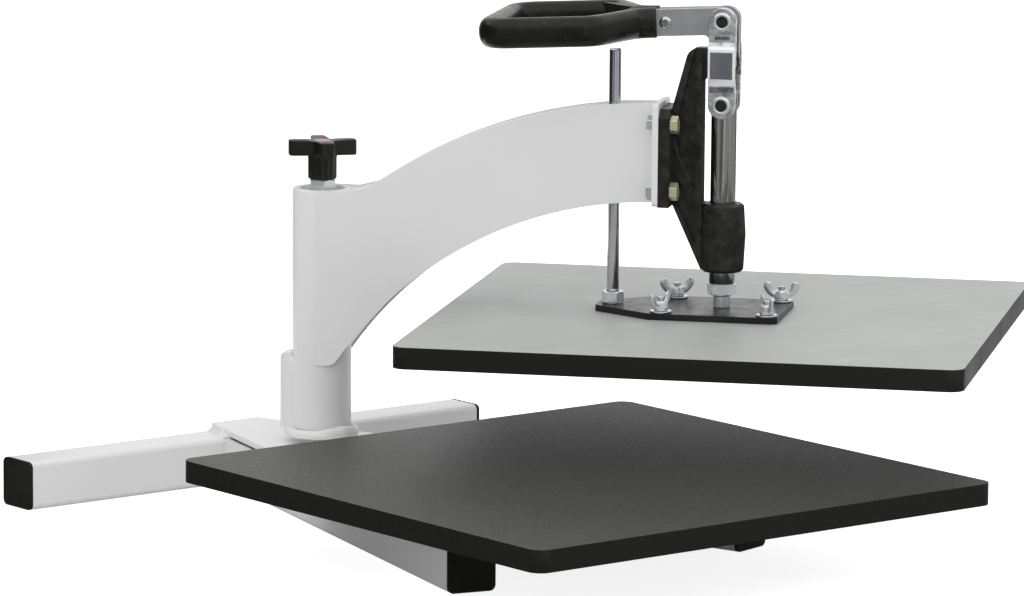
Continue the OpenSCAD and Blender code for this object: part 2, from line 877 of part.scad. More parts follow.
// Points of a round bend of radius r at b, on the way from a to c
function bend(a, b, c, r, n = 5) =
    let (
        u = unit(a - b),
        w = unit(c - b),
        half = acos(u * w) / 2,
        centre = b + unit(u + w) * r / sin(half),
        start = b + u * r / tan(half),
        from = atan2(start.y - centre.y, start.x - centre.x),
        turn = sign(cross(b - a, c - b)) * (180 - 2 * half)
    )
    [for (i = [0:n]) centre + r * [cos(from + turn * i / n), sin(from + turn * i / n)]];

// The direction of a path at each of its points
function heading(path, i) =
    let (
        last = len(path) - 1,
        way_in = i > 0 ? unit(path[i] - path[i - 1]) : [0, 0],
        way_out = i < last ? unit(path[i + 1] - path[i]) : [0, 0]
    )
    unit(way_in + way_out);

// A path moved sideways by d
function beside(path, d) =
    [for (i = [0:len(path) - 1]) let (h = heading(path, i)) path[i] + d * [-h.y, h.x]];

// One half of the loop's middle line, from a start on the shank to the far bar, seen from above
function loop_half_path(start, finish) =
    let (
        a = [-start, strap_mid],
        b = [-grip_start - neck_len, strap_mid],
        c = [-flare_end, loop_half],
        d = [-loop_end, loop_half],
        e = [-loop_end, finish]
    )
    concat([a], bend(a, b, c, loop_bend), bend(b, c, d, loop_bend), bend(c, d, e, loop_bend), [e]);

// The whole loop's middle line, from one side of the shank round to the other
function loop_path(start) =
    let (half = loop_half_path(start, 0), last = len(half) - 1)
    concat([for (i = [0:last - 1]) half[i]], [for (i = [last - 1:-1:0]) [half[i].x, -half[i].y]]);

// The strap's loop as an outline of width w
module loop_outline(start, w) {
    path = loop_path(start);
    left = beside(path, w / 2);
    right = beside(path, -w / 2);
    polygon(concat(left, [for (i = [len(right) - 1:-1:0]) right[i]]));
}

// Places children at the upper link pin, tilted with the handle
module handle_frame() {
    press_frame() translate([0, 0, handle_pin_z]) rotate([0, -handle_droop, 0]) children();
}

// The handle seen from the side, in its own tilt: the shank, and the leg down to the main pivot
module strap_side() {
    fillet = 6;
    leg_w = 2 * strap_leg_r - 1;
    foot = crank * [-sin(handle_droop), -cos(handle_droop)];
    shank_len = loop_end + strap_t;
    corner = (foot.x - leg_w) / 2;
    translate([-shank_len, -strap_h / 2]) square([shank_len, strap_h]);
    circle(d = strap_h);
    bar([0, 0], foot, leg_w);
    translate(foot) circle(strap_leg_r);
    translate([corner - fillet, -strap_h / 2 - fillet]) difference() {
        square(fillet + 2);
        circle(fillet);
    }
}

module handle_strap() {
    tall = 4 * crank;
    color("silver") difference() {
        handle_frame() intersection() {
            translate([0, 0, -tall / 2]) linear_extrude(tall) loop_outline(-2 * strap_leg_r, strap_t);
            across(-2 * loop_half, 2 * loop_half) strap_side();
        }
        press_frame() translate([0, 0, handle_pin_z]) cross_pin(link_pin_d + 2 * pin_fit, far);
        press_frame() translate([0, 0, pivot_z]) cross_pin(pivot_pin_d + 2 * pin_fit, far);
        handle_frame() translate([-rivet_at, 0, 0]) cross_pin(rivet_d + 2 * pin_fit, 4 * strap_out);
    }
}

// Points of the grip's section: a rectangle with well rounded corners
function grip_section(n = 3) =
    let (r = grip_w * 0.42)
    [for (q = [0:3], i = [0:n])
        let (a = 90 * q + 90 * i / n, sx = q == 0 || q == 3 ? 1 : -1, sy = q < 2 ? 1 : -1)
        [sx * (grip_w / 2 - r) + r * cos(a), sy * (grip_h / 2 - r) + r * sin(a)]];

// One half of the grip, swept along the loop
module grip_half() {
    path = loop_half_path(grip_start, -1);
    section = grip_section();
    m = len(section);
    rings = len(path);
    points = [
        for (i = [0:rings - 1], s = section)
            let (h = heading(path, i), p = path[i] - s.x * [-h.y, h.x])
            [p.x, p.y, s.y]
    ];
    walls = [
        for (i = [0:rings - 2], j = [0:m - 1], k = [0, 1])
            let (a = i * m + j, b = i * m + (j + 1) % m)
            k == 0 ? [a, b, b + m] : [a, b + m, a + m]
    ];
    caps = [[for (j = [m - 1:-1:0]) j], [for (j = [0:m - 1]) (rings - 1) * m + j]];
    polyhedron(points, concat(walls, caps), convexity = 6);
}

module handle_grip() {
    play = 0.1;
    color([0.08, 0.08, 0.08]) handle_frame() difference() {
        for (side = [0, 1]) mirror([0, side, 0]) grip_half();
        translate([0, 0, -strap_h / 2 - play])
            linear_extrude(strap_h + 2 * play) loop_outline(grip_start - 5, strap_t + 2 * play);
    }
}

module handle_rivet() {
    head_d = 1.8 * rivet_d;
    head_t = 2;
    color("silver") handle_frame() translate([-rivet_at, 0, 0]) {
        cross_pin(rivet_d, 2 * strap_out);
        for (side = [-1, 1]) translate([0, side * strap_out, 0]) rotate([-side * 90, 0, 0])
            cylinder(d1 = head_d, d2 = 0.6 * head_d, h = head_t);
    }
}

// Link

// The joggled edge of a link plate, seen along the arm
module link_edge() {
    in = link_in;
    out = link_out;
    below = pivot_z - joggle_half;
    above = pivot_z + joggle_half;
    polygon([
        [in, eye_z - far], [out, eye_z - far], [out, below - joggle_ramp], [out + joggle, below],
        [out + joggle, above], [out, above + joggle_ramp], [out, eye_z + far], [in, eye_z + far],
        [in, above + joggle_ramp], [in + joggle, above], [in + joggle, below], [in, below - joggle_ramp]
    ]);
}

module link_plate(side) {
    color("silver") press_frame() difference() {
        intersection() {
            across(-far, far) {
                translate([-link_end_r, eye_z]) square([2 * link_end_r, link_len]);
                for (z = [eye_z, handle_pin_z]) translate([0, z]) circle(link_end_r);
            }
            mirror([0, side > 0 ? 0 : 1, 0]) along(-2 * link_end_r, 2 * link_end_r) link_edge();
        }
        for (z = [eye_z, handle_pin_z]) translate([0, 0, z]) cross_pin(link_pin_d + 2 * pin_fit, far);
    }
}

module near_link() {
    link_plate(-1);
}

module far_link() {
    link_plate(1);
}

// A rolled head of a hollow pin, outside the link plate
module pin_heads() {
    for (side = [-1, 1]) translate([0, side * (link_out + pin_head_t / 2), 0])
        cross_pin(pin_head_d, pin_head_t);
}

module upper_link_pin() {
    color("silver") press_frame() translate([0, 0, handle_pin_z]) difference() {
        union() {
            cross_pin(link_pin_d, 2 * link_out + pin_head_t);
            pin_heads();
        }
        cross_pin(link_pin_bore, far);
    }
}

module lower_link_bushes() {
    color("silver") press_frame() translate([0, 0, eye_z]) difference() {
        union() {
            for (side = [-1, 1]) translate([0, side * (link_in + link_out + pin_head_t) / 2, 0])
                cross_pin(link_pin_d, link_t + pin_head_t);
            pin_heads();
        }
        cross_pin(link_pin_bore, far);
    }
}

// Ram

module plunger() {
    round = 4;
    top = eye_z + plunger_above;
    color([0.75, 0.75, 0.77]) press_frame() difference() {
        union() {
            translate([0, 0, plunger_z]) cylinder(d = plunger_d, h = top - round - plunger_z);
            translate([0, 0, top - round]) cylinder(d1 = plunger_d, d2 = plunger_d - 2 * round, h = round);
        }
        translate([0, 0, eye_z]) cross_pin(link_pin_d + 2 * pin_fit, far);
        translate([0, 0, plunger_z - 1])
            cylinder(r = ram_stud_d / 2 + bolt_fit, h = plunger_nut_h + ram_stud_show + 1);
    }
}

module plunger_pin() {
    flat = sqrt(plunger_d * plunger_d / 4 - link_pin_d * link_pin_d / 4);
    color("silver") press_frame() translate([0, 0, eye_z]) cross_pin(link_pin_d, 2 * flat);
}

module plunger_nut() {
    color("silver") press_frame() translate([0, 0, plunger_nut_z])
        hex_nut(plunger_nut_af, plunger_nut_h, ram_stud_d + 2 * bolt_fit);
}

module ram_stud() {
    color("silver") press_frame() translate([0, 0, upper_top])
        cylinder(d = ram_stud_d, h = plunger_z + plunger_nut_h - upper_top);
}

// Children at the bracket's four studs
module stud_places() {
    for (i = [0:3]) translate([(i % 2 - 0.5) * stud_along, (floor(i / 2) - 0.5) * stud_across, 0])
        rotate([0, 0, wing_turns[i]]) children();
}

module platen_bracket() {
    w = bracket_w / 2;
    tip = bracket_tip_w / 2;
    cut = 4;
    color([0.1, 0.1, 0.1]) press_frame() translate([0, 0, upper_top]) difference() {
        linear_extrude(bracket_t) polygon([
            [-bracket_tip, -tip], [-bracket_half, -w], [bracket_half - cut, -w], [bracket_half, cut - w],
            [bracket_half, w - cut], [bracket_half - cut, w], [-bracket_half, w], [-bracket_tip, tip]
        ]);
        translate([0, 0, -1]) {
            cylinder(r = ram_stud_d / 2 + bolt_fit, h = bracket_t + 2);
            translate([-rod_back, 0, 0]) cylinder(r = rod_d / 2 + bolt_fit, h = bracket_t + 2);
            stud_places() cylinder(r = stud_d / 2 + bolt_fit, h = bracket_t + 2);
        }
    }
}

module bracket_studs() {
    color("silver") press_frame() translate([0, 0, upper_top - stud_bite]) stud_places()
        cylinder(d = stud_d, h = stud_top - upper_top + stud_bite);
}

module washers() {
    color("silver") press_frame() translate([0, 0, bracket_top]) stud_places() difference() {
        cylinder(d = washer_d, h = washer_t);
        translate([0, 0, -1]) cylinder(r = stud_d / 2 + bolt_fit, h = washer_t + 2);
    }
}

// One wing nut standing on z = 0
module wing_nut() {
    hub_r = stud_d * 0.95;
    tip_r = 4;
    wing_t = 2.4;
    tip = [wing_span / 2 - tip_r, wing_h - tip_r];
    difference() {
        union() {
            cylinder(r1 = hub_r, r2 = hub_r * 0.8, h = wing_hub_h);
            for (side = [0, 1]) mirror([side, 0, 0]) across(-wing_t / 2, wing_t / 2) {
                polygon([
                    [hub_r * 0.6, 1], [hub_r, 1], tip + [tip_r * 0.8, -tip_r * 0.6],
                    tip + [-tip_r * 0.8, tip_r * 0.6], [hub_r * 0.6, wing_hub_h - 1]
                ]);
                translate(tip) circle(tip_r);
            }
        }
        translate([0, 0, -1]) cylinder(r = stud_d / 2 + bolt_fit, h = far);
    }
}

module wing_nuts() {
    color("silver") press_frame() translate([0, 0, washer_top]) stud_places() wing_nut();
}

module upper_platen() {
    color([0.68, 0.68, 0.67]) press_frame() difference() {
        translate([0, 0, upper_z]) rotate([0, 0, 90]) platen_plate();
        translate([0, 0, upper_top - stud_bite - 0.5]) stud_places()
            cylinder(r = stud_d / 2 + bolt_fit, h = stud_bite + 1);
    }
}

module guide_rod() {
    tip = 1;
    color([0.75, 0.75, 0.77]) press_frame() translate([-rod_back, 0, upper_top]) {
        cylinder(d = rod_d, h = rod_len + bracket_t - tip);
        translate([0, 0, rod_len + bracket_t - tip]) cylinder(d1 = rod_d, d2 = rod_d - 2 * tip, h = tip);
    }
}

module guide_rod_nut() {
    color("silver") press_frame() translate([-rod_back, 0, bracket_top])
        hex_nut(rod_nut_af, rod_nut_h, rod_d + 2 * bolt_fit);
}

cross_tube();
left_leg();
right_leg();
cross_tube_caps();
leg_caps();
base_plate();
post();
lower_platen();
platen_spacers();
platen_bolts();
thrust_pad();
sleeve();
sleeve_collar();
sleeve_plug();
near_arm_plate();
far_arm_plate();
arm_top_strip();
arm_bottom_strip();
end_flange();
stop_lug();
jam_nut();
clamp_body();
clamp_bolts();
clamp_nuts();
main_pivot_pin();
star_knob();
knob_insert();
knob_screw();
handle_strap();
handle_grip();
handle_rivet();
near_link();
far_link();
upper_link_pin();
lower_link_bushes();
plunger();
plunger_pin();
plunger_nut();
ram_stud();
platen_bracket();
bracket_studs();
washers();
wing_nuts();
upper_platen();
guide_rod();
guide_rod_nut();
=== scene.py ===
import itertools
import math

import bmesh
import bpy
from mathutils import Matrix, Vector


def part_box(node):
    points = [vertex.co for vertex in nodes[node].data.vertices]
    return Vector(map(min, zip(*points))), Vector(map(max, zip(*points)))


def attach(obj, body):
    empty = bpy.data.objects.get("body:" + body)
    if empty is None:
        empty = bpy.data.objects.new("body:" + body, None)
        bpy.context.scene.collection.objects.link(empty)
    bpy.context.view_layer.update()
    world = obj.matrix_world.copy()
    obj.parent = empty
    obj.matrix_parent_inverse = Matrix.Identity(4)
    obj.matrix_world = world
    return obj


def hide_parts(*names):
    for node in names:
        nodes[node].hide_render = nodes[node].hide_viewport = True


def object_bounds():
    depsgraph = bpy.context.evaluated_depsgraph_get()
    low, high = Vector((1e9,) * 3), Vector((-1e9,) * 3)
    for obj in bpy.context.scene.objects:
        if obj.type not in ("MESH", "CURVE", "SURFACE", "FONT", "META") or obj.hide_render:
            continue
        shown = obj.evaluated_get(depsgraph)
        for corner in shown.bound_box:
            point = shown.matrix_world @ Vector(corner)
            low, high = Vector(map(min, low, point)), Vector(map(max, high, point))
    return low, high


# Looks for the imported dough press: materials for its solids, small forms over them, and a plain studio.
# The part's sizes are in millimetres, and the camera's and the studio's are in metres.

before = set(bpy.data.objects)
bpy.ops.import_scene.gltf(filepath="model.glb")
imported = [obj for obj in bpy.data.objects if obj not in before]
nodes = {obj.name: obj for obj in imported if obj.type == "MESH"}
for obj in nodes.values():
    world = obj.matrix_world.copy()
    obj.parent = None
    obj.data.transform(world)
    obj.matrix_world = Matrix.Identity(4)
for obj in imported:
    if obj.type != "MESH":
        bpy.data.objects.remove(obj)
cad_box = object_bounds()
scene = bpy.context.scene
MM = 0.001


# Camera, at the photograph's viewing angle

SENSOR_W = 36
LENS = 210.75
CLIP_END = 100
VIEW_PLACE = Vector((-2.9308, -4.0381, 0.9501))
VIEW_AZIMUTH = math.radians(-38.53)
VIEW_ELEVATION = math.radians(9.07)
VIEW_ROLL = math.radians(0.46)


def make_camera():
    data = bpy.data.cameras.new("camera")
    data.sensor_width = SENSOR_W
    data.lens = LENS
    data.clip_end = CLIP_END
    level = math.cos(VIEW_ELEVATION)
    ahead = Vector((
        -math.sin(VIEW_AZIMUTH) * level, math.cos(VIEW_AZIMUTH) * level, -math.sin(VIEW_ELEVATION),
    ))
    right = Vector((math.cos(VIEW_AZIMUTH), math.sin(VIEW_AZIMUTH), 0))
    up = right.cross(ahead)
    turned_right = right * math.cos(VIEW_ROLL) + up * math.sin(VIEW_ROLL)
    turned_up = up * math.cos(VIEW_ROLL) - right * math.sin(VIEW_ROLL)
    camera = bpy.data.objects.new("camera", data)
    axes = Matrix((turned_right, turned_up, -ahead)).transposed()
    camera.matrix_world = Matrix.Translation(VIEW_PLACE) @ axes.to_4x4()
    scene.collection.objects.link(camera)
    scene.camera = camera


make_camera()


# The part's own places, as its source has them

REACH = 335
ARM_STORED = 40.2
SWING = math.radians(ARM_STORED - 90)
COLUMN = Vector((0, -0.105, 0))
ALONG = Vector((math.cos(SWING), math.sin(SWING), 0))
ACROSS = Vector((-math.sin(SWING), math.cos(SWING), 0))
UP = Vector((0, 0, 1))
PIN_B = 407.65
PIN_C = 339.35
LINK_OUT = 15.0
PIN_HEAD_T = 1.8
DROOP = math.radians(3)
HANDLE_WAY = ALONG * math.cos(DROOP) + UP * math.sin(DROOP)
GRIP_START = 54.8


def on_arm(x, y, z):
    return COLUMN + (ALONG * x + ACROSS * y + UP * z) * MM


def on_press(x, y, z):
    return on_arm(x + REACH, y, z)


def on_handle(x, y, z):
    level = math.cos(DROOP)
    rise = math.sin(DROOP)
    return on_press(x * level - z * rise, y, PIN_B + x * rise + z * level)


# Materials


TOP_SLOPE = (0.80, 0.90)
WAVE_FACTOR = 20


class Finish:
    """A node material on one Principled shader, with textures in the part's own metres."""

    def __init__(self, name, metallic=0.0, roughness=0.5, specular=0.5):
        self.material = bpy.data.materials.new(name)
        self.material.use_nodes = True
        self.tree = self.material.node_tree
        self.shader = self.tree.nodes["Principled BSDF"]
        self.shader.inputs["Metallic"].default_value = metallic
        self.shader.inputs["Roughness"].default_value = roughness
        self.shader.inputs["Specular IOR Level"].default_value = specular
        coordinates = self.add("ShaderNodeTexCoord")
        self.place = coordinates.outputs["Object"]
        self.facing = coordinates.outputs["Normal"]

    def add(self, kind, **settings):
        made = self.tree.nodes.new(kind)
        for key, value in settings.items():
            setattr(made, key, value)
        return made

    def link(self, source, target):
        self.tree.links.new(source, target)

    def stretched(self, factors):
        mapping = self.add("ShaderNodeMapping")
        self.link(self.place, mapping.inputs["Vector"])
        mapping.inputs["Scale"].default_value = factors
        return mapping.outputs["Vector"]

    def noise(self, scale, detail=3.0, stretch=None):
        texture = self.add("ShaderNodeTexNoise")
        self.link(self.stretched(stretch) if stretch else self.place, texture.inputs["Vector"])
        texture.inputs["Scale"].default_value = scale
        texture.inputs["Detail"].default_value = detail
        return texture.outputs["Fac"]

    def wave(self, pitch):
        """Bands up the Z axis, one to each pitch."""
        texture = self.add("ShaderNodeTexWave", bands_direction="Z")
        self.link(self.place, texture.inputs["Vector"])
        texture.inputs["Scale"].default_value = math.tau / (WAVE_FACTOR * pitch * MM)
        return texture.outputs["Fac"]

    def facing_up(self):
        """1 on level tops, 0 on walls."""
        geometry = self.add("ShaderNodeNewGeometry")
        parts = self.add("ShaderNodeSeparateXYZ")
        self.link(geometry.outputs["Normal"], parts.inputs["Vector"])
        return self.remap(parts.outputs["Z"], 0, 1, *TOP_SLOPE)

    def dot(self, source, way):
        node = self.add("ShaderNodeVectorMath", operation="DOT_PRODUCT")
        self.link(source, node.inputs[0])
        node.inputs[1].default_value = way
        return node.outputs["Value"]

    def along(self, way):
        """The distance along a direction, in millimetres."""
        return self.dot(self.place, way / MM)

    def both(self, first, second):
        node = self.add("ShaderNodeMath", operation="MULTIPLY")
        self.link(first, node.inputs[0])
        self.link(second, node.inputs[1])
        return node.outputs["Value"]

    def band(self, source, low, high, soft=0.6):
        """1 between low and high, 0 elsewhere."""
        above = self.remap(source, 0, 1, low, low + soft)
        below = self.remap(source, 1, 0, high - soft, high)
        return self.both(above, below)

    def remap(self, source, low, high, start=0.35, end=0.65):
        node = self.add("ShaderNodeMapRange")
        self.link(source, node.inputs["Value"])
        node.inputs["From Min"].default_value = start
        node.inputs["From Max"].default_value = end
        node.inputs["To Min"].default_value = low
        node.inputs["To Max"].default_value = high
        return node.outputs["Result"]

    def mix(self, factor, first, second):
        node = self.add("ShaderNodeMix", data_type="RGBA")
        self.link(factor, node.inputs["Factor"])
        for socket, value in ((node.inputs["A"], first), (node.inputs["B"], second)):
            if isinstance(value, bpy.types.NodeSocket):
                self.link(value, socket)
            else:
                socket.default_value = (*value, 1)
        return node.outputs["Result"]

    def blend(self, factor, first, second):
        node = self.add("ShaderNodeMix", data_type="FLOAT")
        self.link(factor, node.inputs["Factor"])
        self.link(first, node.inputs["A"])
        self.link(second, node.inputs["B"])
        return node.outputs["Result"]

    def colour(self, source):
        self.link(source, self.shader.inputs["Base Color"])

    def rough(self, source):
        self.link(source, self.shader.inputs["Roughness"])

    def metallic(self, source):
        self.link(source, self.shader.inputs["Metallic"])

    def bump(self, height, depth, strength=1.0):
        node = self.add("ShaderNodeBump")
        node.inputs["Distance"].default_value = depth
        node.inputs["Strength"].default_value = strength
        self.link(height, node.inputs["Height"])
        self.link(node.outputs["Normal"], self.shader.inputs["Normal"])


def white_paint():
    finish = Finish("white_paint", specular=0.4)
    tone = finish.remap(finish.noise(7, 3), 0, 1)
    finish.colour(finish.mix(tone, (0.80, 0.80, 0.797), (0.785, 0.787, 0.786)))
    finish.rough(finish.remap(finish.noise(60, 3), 0.34, 0.42))
    finish.bump(finish.noise(650, 2), 0.00012, 0.35)
    return finish.material


def black_plastic():
    finish = Finish("black_plastic", specular=0.42)
    tone = finish.remap(finish.noise(25, 4), 0, 1)
    finish.colour(finish.mix(tone, (0.006, 0.006, 0.005), (0.013, 0.013, 0.010)))
    finish.rough(finish.remap(finish.noise(140, 3), 0.30, 0.44))
    finish.bump(finish.noise(1900, 2), 0.00010, 0.4)
    return finish.material


def cap_plastic():
    finish = Finish("cap_plastic", specular=0.20)
    tone = finish.remap(finish.noise(25, 4), 0, 1)
    finish.colour(finish.mix(tone, (0.009, 0.009, 0.008), (0.017, 0.017, 0.014)))
    finish.rough(finish.remap(finish.noise(140, 3), 0.46, 0.60))
    finish.bump(finish.noise(1900, 2), 0.00010, 0.4)
    return finish.material


def black_vinyl():
    finish = Finish("black_vinyl", specular=0.30)
    tone = finish.remap(finish.noise(18, 4), 0, 1)
    scuff = finish.remap(finish.noise(75, 5, (1, 1, 3)), 0, 1, 0.66, 0.80)
    clean = finish.mix(tone, (0.008, 0.008, 0.005), (0.015, 0.015, 0.010))
    finish.colour(finish.mix(scuff, clean, (0.05, 0.05, 0.04)))
    finish.rough(finish.remap(finish.noise(70, 4), 0.22, 0.33))
    finish.bump(finish.noise(110, 4), 0.0006, 0.25)
    return finish.material


def metal(name, light, dark, smooth, coarse, stretch=None, grain=900, relief=0.00002, metallic=1.0):
    finish = Finish(name, metallic=metallic)
    tone = finish.remap(finish.noise(35, 5, stretch), 0, 1)
    finish.colour(finish.mix(tone, light, dark))
    finish.rough(finish.remap(finish.noise(120, 4, stretch), smooth, coarse))
    finish.bump(finish.noise(grain, 2, stretch), relief, 0.5)
    return finish.material


PAD_Z = (360.8, 383.3)
PAD_HALF = 9.5
# Heights of the painted highlight band, and of the painted shade in the creases with their half widths
RAMP_HIGHLIGHT_Z = (354.6, 388.5)
UPPER_SHADE_Z = (392.6, 396.0)
UPPER_SHADE_HALF = 6.5
LOWER_SHADE_Z = (349.6, 354.6)
LOWER_SHADE_HALF = 10
OUTER_FACE = (3, 6)


def link_zinc():
    """Scuffed ends round a polished middle, with painted shade in the creases, a painted highlight on the
    bends and a painted dark reflection on the middle.
    """
    finish = Finish("link_zinc")
    height = finish.along(UP)
    sideways = finish.along(ALONG)
    axis = COLUMN.dot(ALONG) / MM + REACH

    side = COLUMN.dot(ACROSS) / MM
    out = finish.remap(finish.along(ACROSS), -LINK_OUT, LINK_OUT, side - LINK_OUT, side + LINK_OUT)
    outer = finish.remap(finish.both(out, finish.dot(finish.facing, ACROSS)), 0, 1, *OUTER_FACE)

    def patch(levels, half):
        face = finish.both(outer, finish.band(sideways, axis - half, axis + half))
        return finish.both(finish.band(height, *levels), face)

    scuff = finish.remap(finish.noise(130, 5, (1, 1, 2.2)), 0, 1, 0.42, 0.66)
    coat = finish.mix(scuff, (0.84, 0.86, 0.88), (0.42, 0.43, 0.44))
    # Painted highlight: a bright, less metallic band over the ramps and the borders round the pad
    ramp_highlight = finish.both(outer, finish.band(height, *RAMP_HIGHLIGHT_Z, 1.5))
    coat = finish.mix(ramp_highlight, coat, (0.93, 0.94, 0.95))
    # Painted shade: dark, patchy bands in the creases of the bends
    shade_strength = finish.remap(finish.noise(260, 3), 0.55, 1)
    for levels, half in ((UPPER_SHADE_Z, UPPER_SHADE_HALF), (LOWER_SHADE_Z, LOWER_SHADE_HALF)):
        coat = finish.mix(finish.both(shade_strength, patch(levels, half)), coat, (0.13, 0.13, 0.135))
    pad = patch(PAD_Z, PAD_HALF)
    # Painted reflection: the pad's darker, bluer colour stands for the dark surroundings in its polished face
    middle = finish.mix(finish.remap(finish.noise(60, 3), 0, 1), (0.42, 0.44, 0.50), (0.36, 0.38, 0.43))
    finish.colour(finish.mix(pad, coat, middle))
    outside = finish.remap(pad, 1, 0, 0, 1)
    finish.metallic(finish.remap(finish.both(ramp_highlight, outside), 0.85, 0.25, 0, 1))
    satin = finish.remap(finish.noise(160, 4), 0.24, 0.40)
    polished = finish.remap(finish.noise(160, 4), 0.12, 0.20)
    finish.rough(finish.blend(pad, satin, polished))
    finish.bump(finish.noise(400, 3), 0.00006, 0.4)
    return finish.material


VINYL_LAP = 3


def strap_zinc():
    """Zinc up to the line where the strap was dipped in vinyl."""
    finish = Finish("strap_zinc")
    pin = on_handle(0, 0, 0).dot(HANDLE_WAY) / MM
    dip_line = pin - GRIP_START - VINYL_LAP
    bare = finish.remap(finish.along(HANDLE_WAY), 0, 1, dip_line, dip_line + 1)
    tone = finish.remap(finish.noise(35, 5), 0, 1)
    zinc = finish.mix(tone, (0.64, 0.66, 0.675), (0.54, 0.56, 0.575))
    finish.colour(finish.mix(bare, (0.011, 0.011, 0.008), zinc))
    finish.metallic(finish.remap(bare, 0, 0.85, 0, 1))
    finish.rough(finish.remap(finish.noise(120, 4), 0.28, 0.40))
    finish.bump(finish.noise(900, 2), 0.00002, 0.5)
    return finish.material


GROOVE_SHADE = 0.30


def threaded(name, light, dark, pitch, depth):
    """Zinc with painted shade in the grooves of a thread up the Z axis."""
    finish = Finish(name, metallic=1.0)
    tone = finish.remap(finish.noise(90, 4), 0, 1)
    thread = finish.wave(pitch)
    crest = finish.mix(tone, light, dark)
    # Painted shade: the grooves get a darker copy of the zinc's colour
    groove = tuple(GROOVE_SHADE * c for c in dark)
    finish.colour(finish.mix(finish.remap(thread, 0, 1, 0.0, 0.45), groove, crest))
    finish.rough(finish.remap(finish.noise(200, 3), 0.22, 0.38))
    finish.bump(thread, depth, 0.8)
    return finish.material


def black_casting():
    """Rough paint, duller on the faces at the front."""
    finish = Finish("black_casting", specular=0.40)
    tone = finish.remap(finish.noise(110, 5), 0, 1, 0.40, 0.68)
    finish.colour(finish.mix(tone, (0.007, 0.007, 0.005), (0.026, 0.025, 0.019)))
    front = finish.remap(finish.dot(finish.facing, ALONG), 0, 1, 0.55, 0.85)
    painted = finish.remap(finish.noise(90, 4), 0.34, 0.52)
    dull = finish.remap(finish.noise(90, 4), 0.84, 0.96)
    finish.rough(finish.blend(front, painted, dull))
    finish.bump(finish.noise(230, 5), 0.0014, 0.6)
    return finish.material


def black_bracket():
    finish = Finish("black_bracket", specular=0.3)
    tone = finish.remap(finish.noise(30, 4), 0, 1)
    finish.colour(finish.mix(tone, (0.008, 0.008, 0.008), (0.016, 0.016, 0.015)))
    finish.rough(finish.remap(finish.noise(80, 4), 0.26, 0.36))
    finish.bump(finish.noise(500, 2), 0.00006, 0.3)
    return finish.material


def black_platen():
    """A speckled coat on top and plain walls."""
    finish = Finish("black_platen", specular=0.5)
    grain = finish.remap(finish.noise(560, 2), 0, 1, 0.38, 0.66)
    speck = finish.remap(finish.noise(380, 3), 0, 1, 0.64, 0.69)
    coat = finish.mix(grain, (0.003, 0.003, 0.002), (0.040, 0.040, 0.034))
    coat = finish.mix(speck, coat, (0.11, 0.11, 0.095))
    top = finish.facing_up()
    finish.colour(finish.mix(top, (0.006, 0.006, 0.005), coat))
    finish.rough(finish.remap(finish.noise(560, 2), 0.38, 0.52))
    finish.bump(finish.noise(480, 3), 0.0007, 0.55)
    return finish.material


def grey_platen():
    """A clouded, nicked grey top and black walls."""
    finish = Finish("grey_platen", specular=0.42)
    cloud = finish.remap(finish.noise(6, 3), 0, 1, 0.30, 0.70)
    smudge = finish.remap(finish.noise(26, 5), 0, 1, 0.62, 0.78)
    bare = finish.mix(cloud, (0.47, 0.48, 0.47), (0.43, 0.44, 0.43))
    bare = finish.mix(smudge, bare, (0.50, 0.51, 0.495))
    streak = finish.remap(finish.noise(14, 4, (1, 9, 1)), 0, 0.55, 0.40, 0.75)
    bare = finish.mix(streak, bare, (0.40, 0.41, 0.405))
    nick = finish.remap(finish.noise(95, 2), 0, 1, 0.76, 0.80)
    bare = finish.mix(nick, bare, (0.27, 0.275, 0.27))
    top = finish.facing_up()
    finish.colour(finish.mix(top, (0.010, 0.010, 0.009), bare))
    finish.metallic(finish.remap(top, 0, 0.25, 0, 1))
    finish.rough(finish.remap(finish.noise(20, 3), 0.50, 0.58))
    finish.bump(finish.noise(900, 3), 0.00012, 0.35)
    return finish.material


FINISHES = {
    white_paint: [
        "cross_tube", "left_leg", "right_leg", "base_plate", "sleeve", "sleeve_collar", "near_arm_plate",
        "far_arm_plate", "arm_top_strip", "arm_bottom_strip", "end_flange", "stop_lug", "post",
    ],
    black_plastic: ["star_knob"],
    link_zinc: ["near_link", "far_link"],
    strap_zinc: ["handle_strap"],
    cap_plastic: ["cross_tube_caps", "leg_caps"],
    black_vinyl: ["handle_grip"],
    black_casting: ["clamp_body"],
    black_bracket: ["platen_bracket"],
    black_platen: ["lower_platen"],
    grey_platen: ["upper_platen"],
}
coats = {}


def dress(name, material):
    node = nodes[name]
    node.data.materials.clear()
    node.data.materials.append(material)


for make, names in FINISHES.items():
    coats[make.__name__] = make()
    for name in names:
        dress(name, coats[make.__name__])

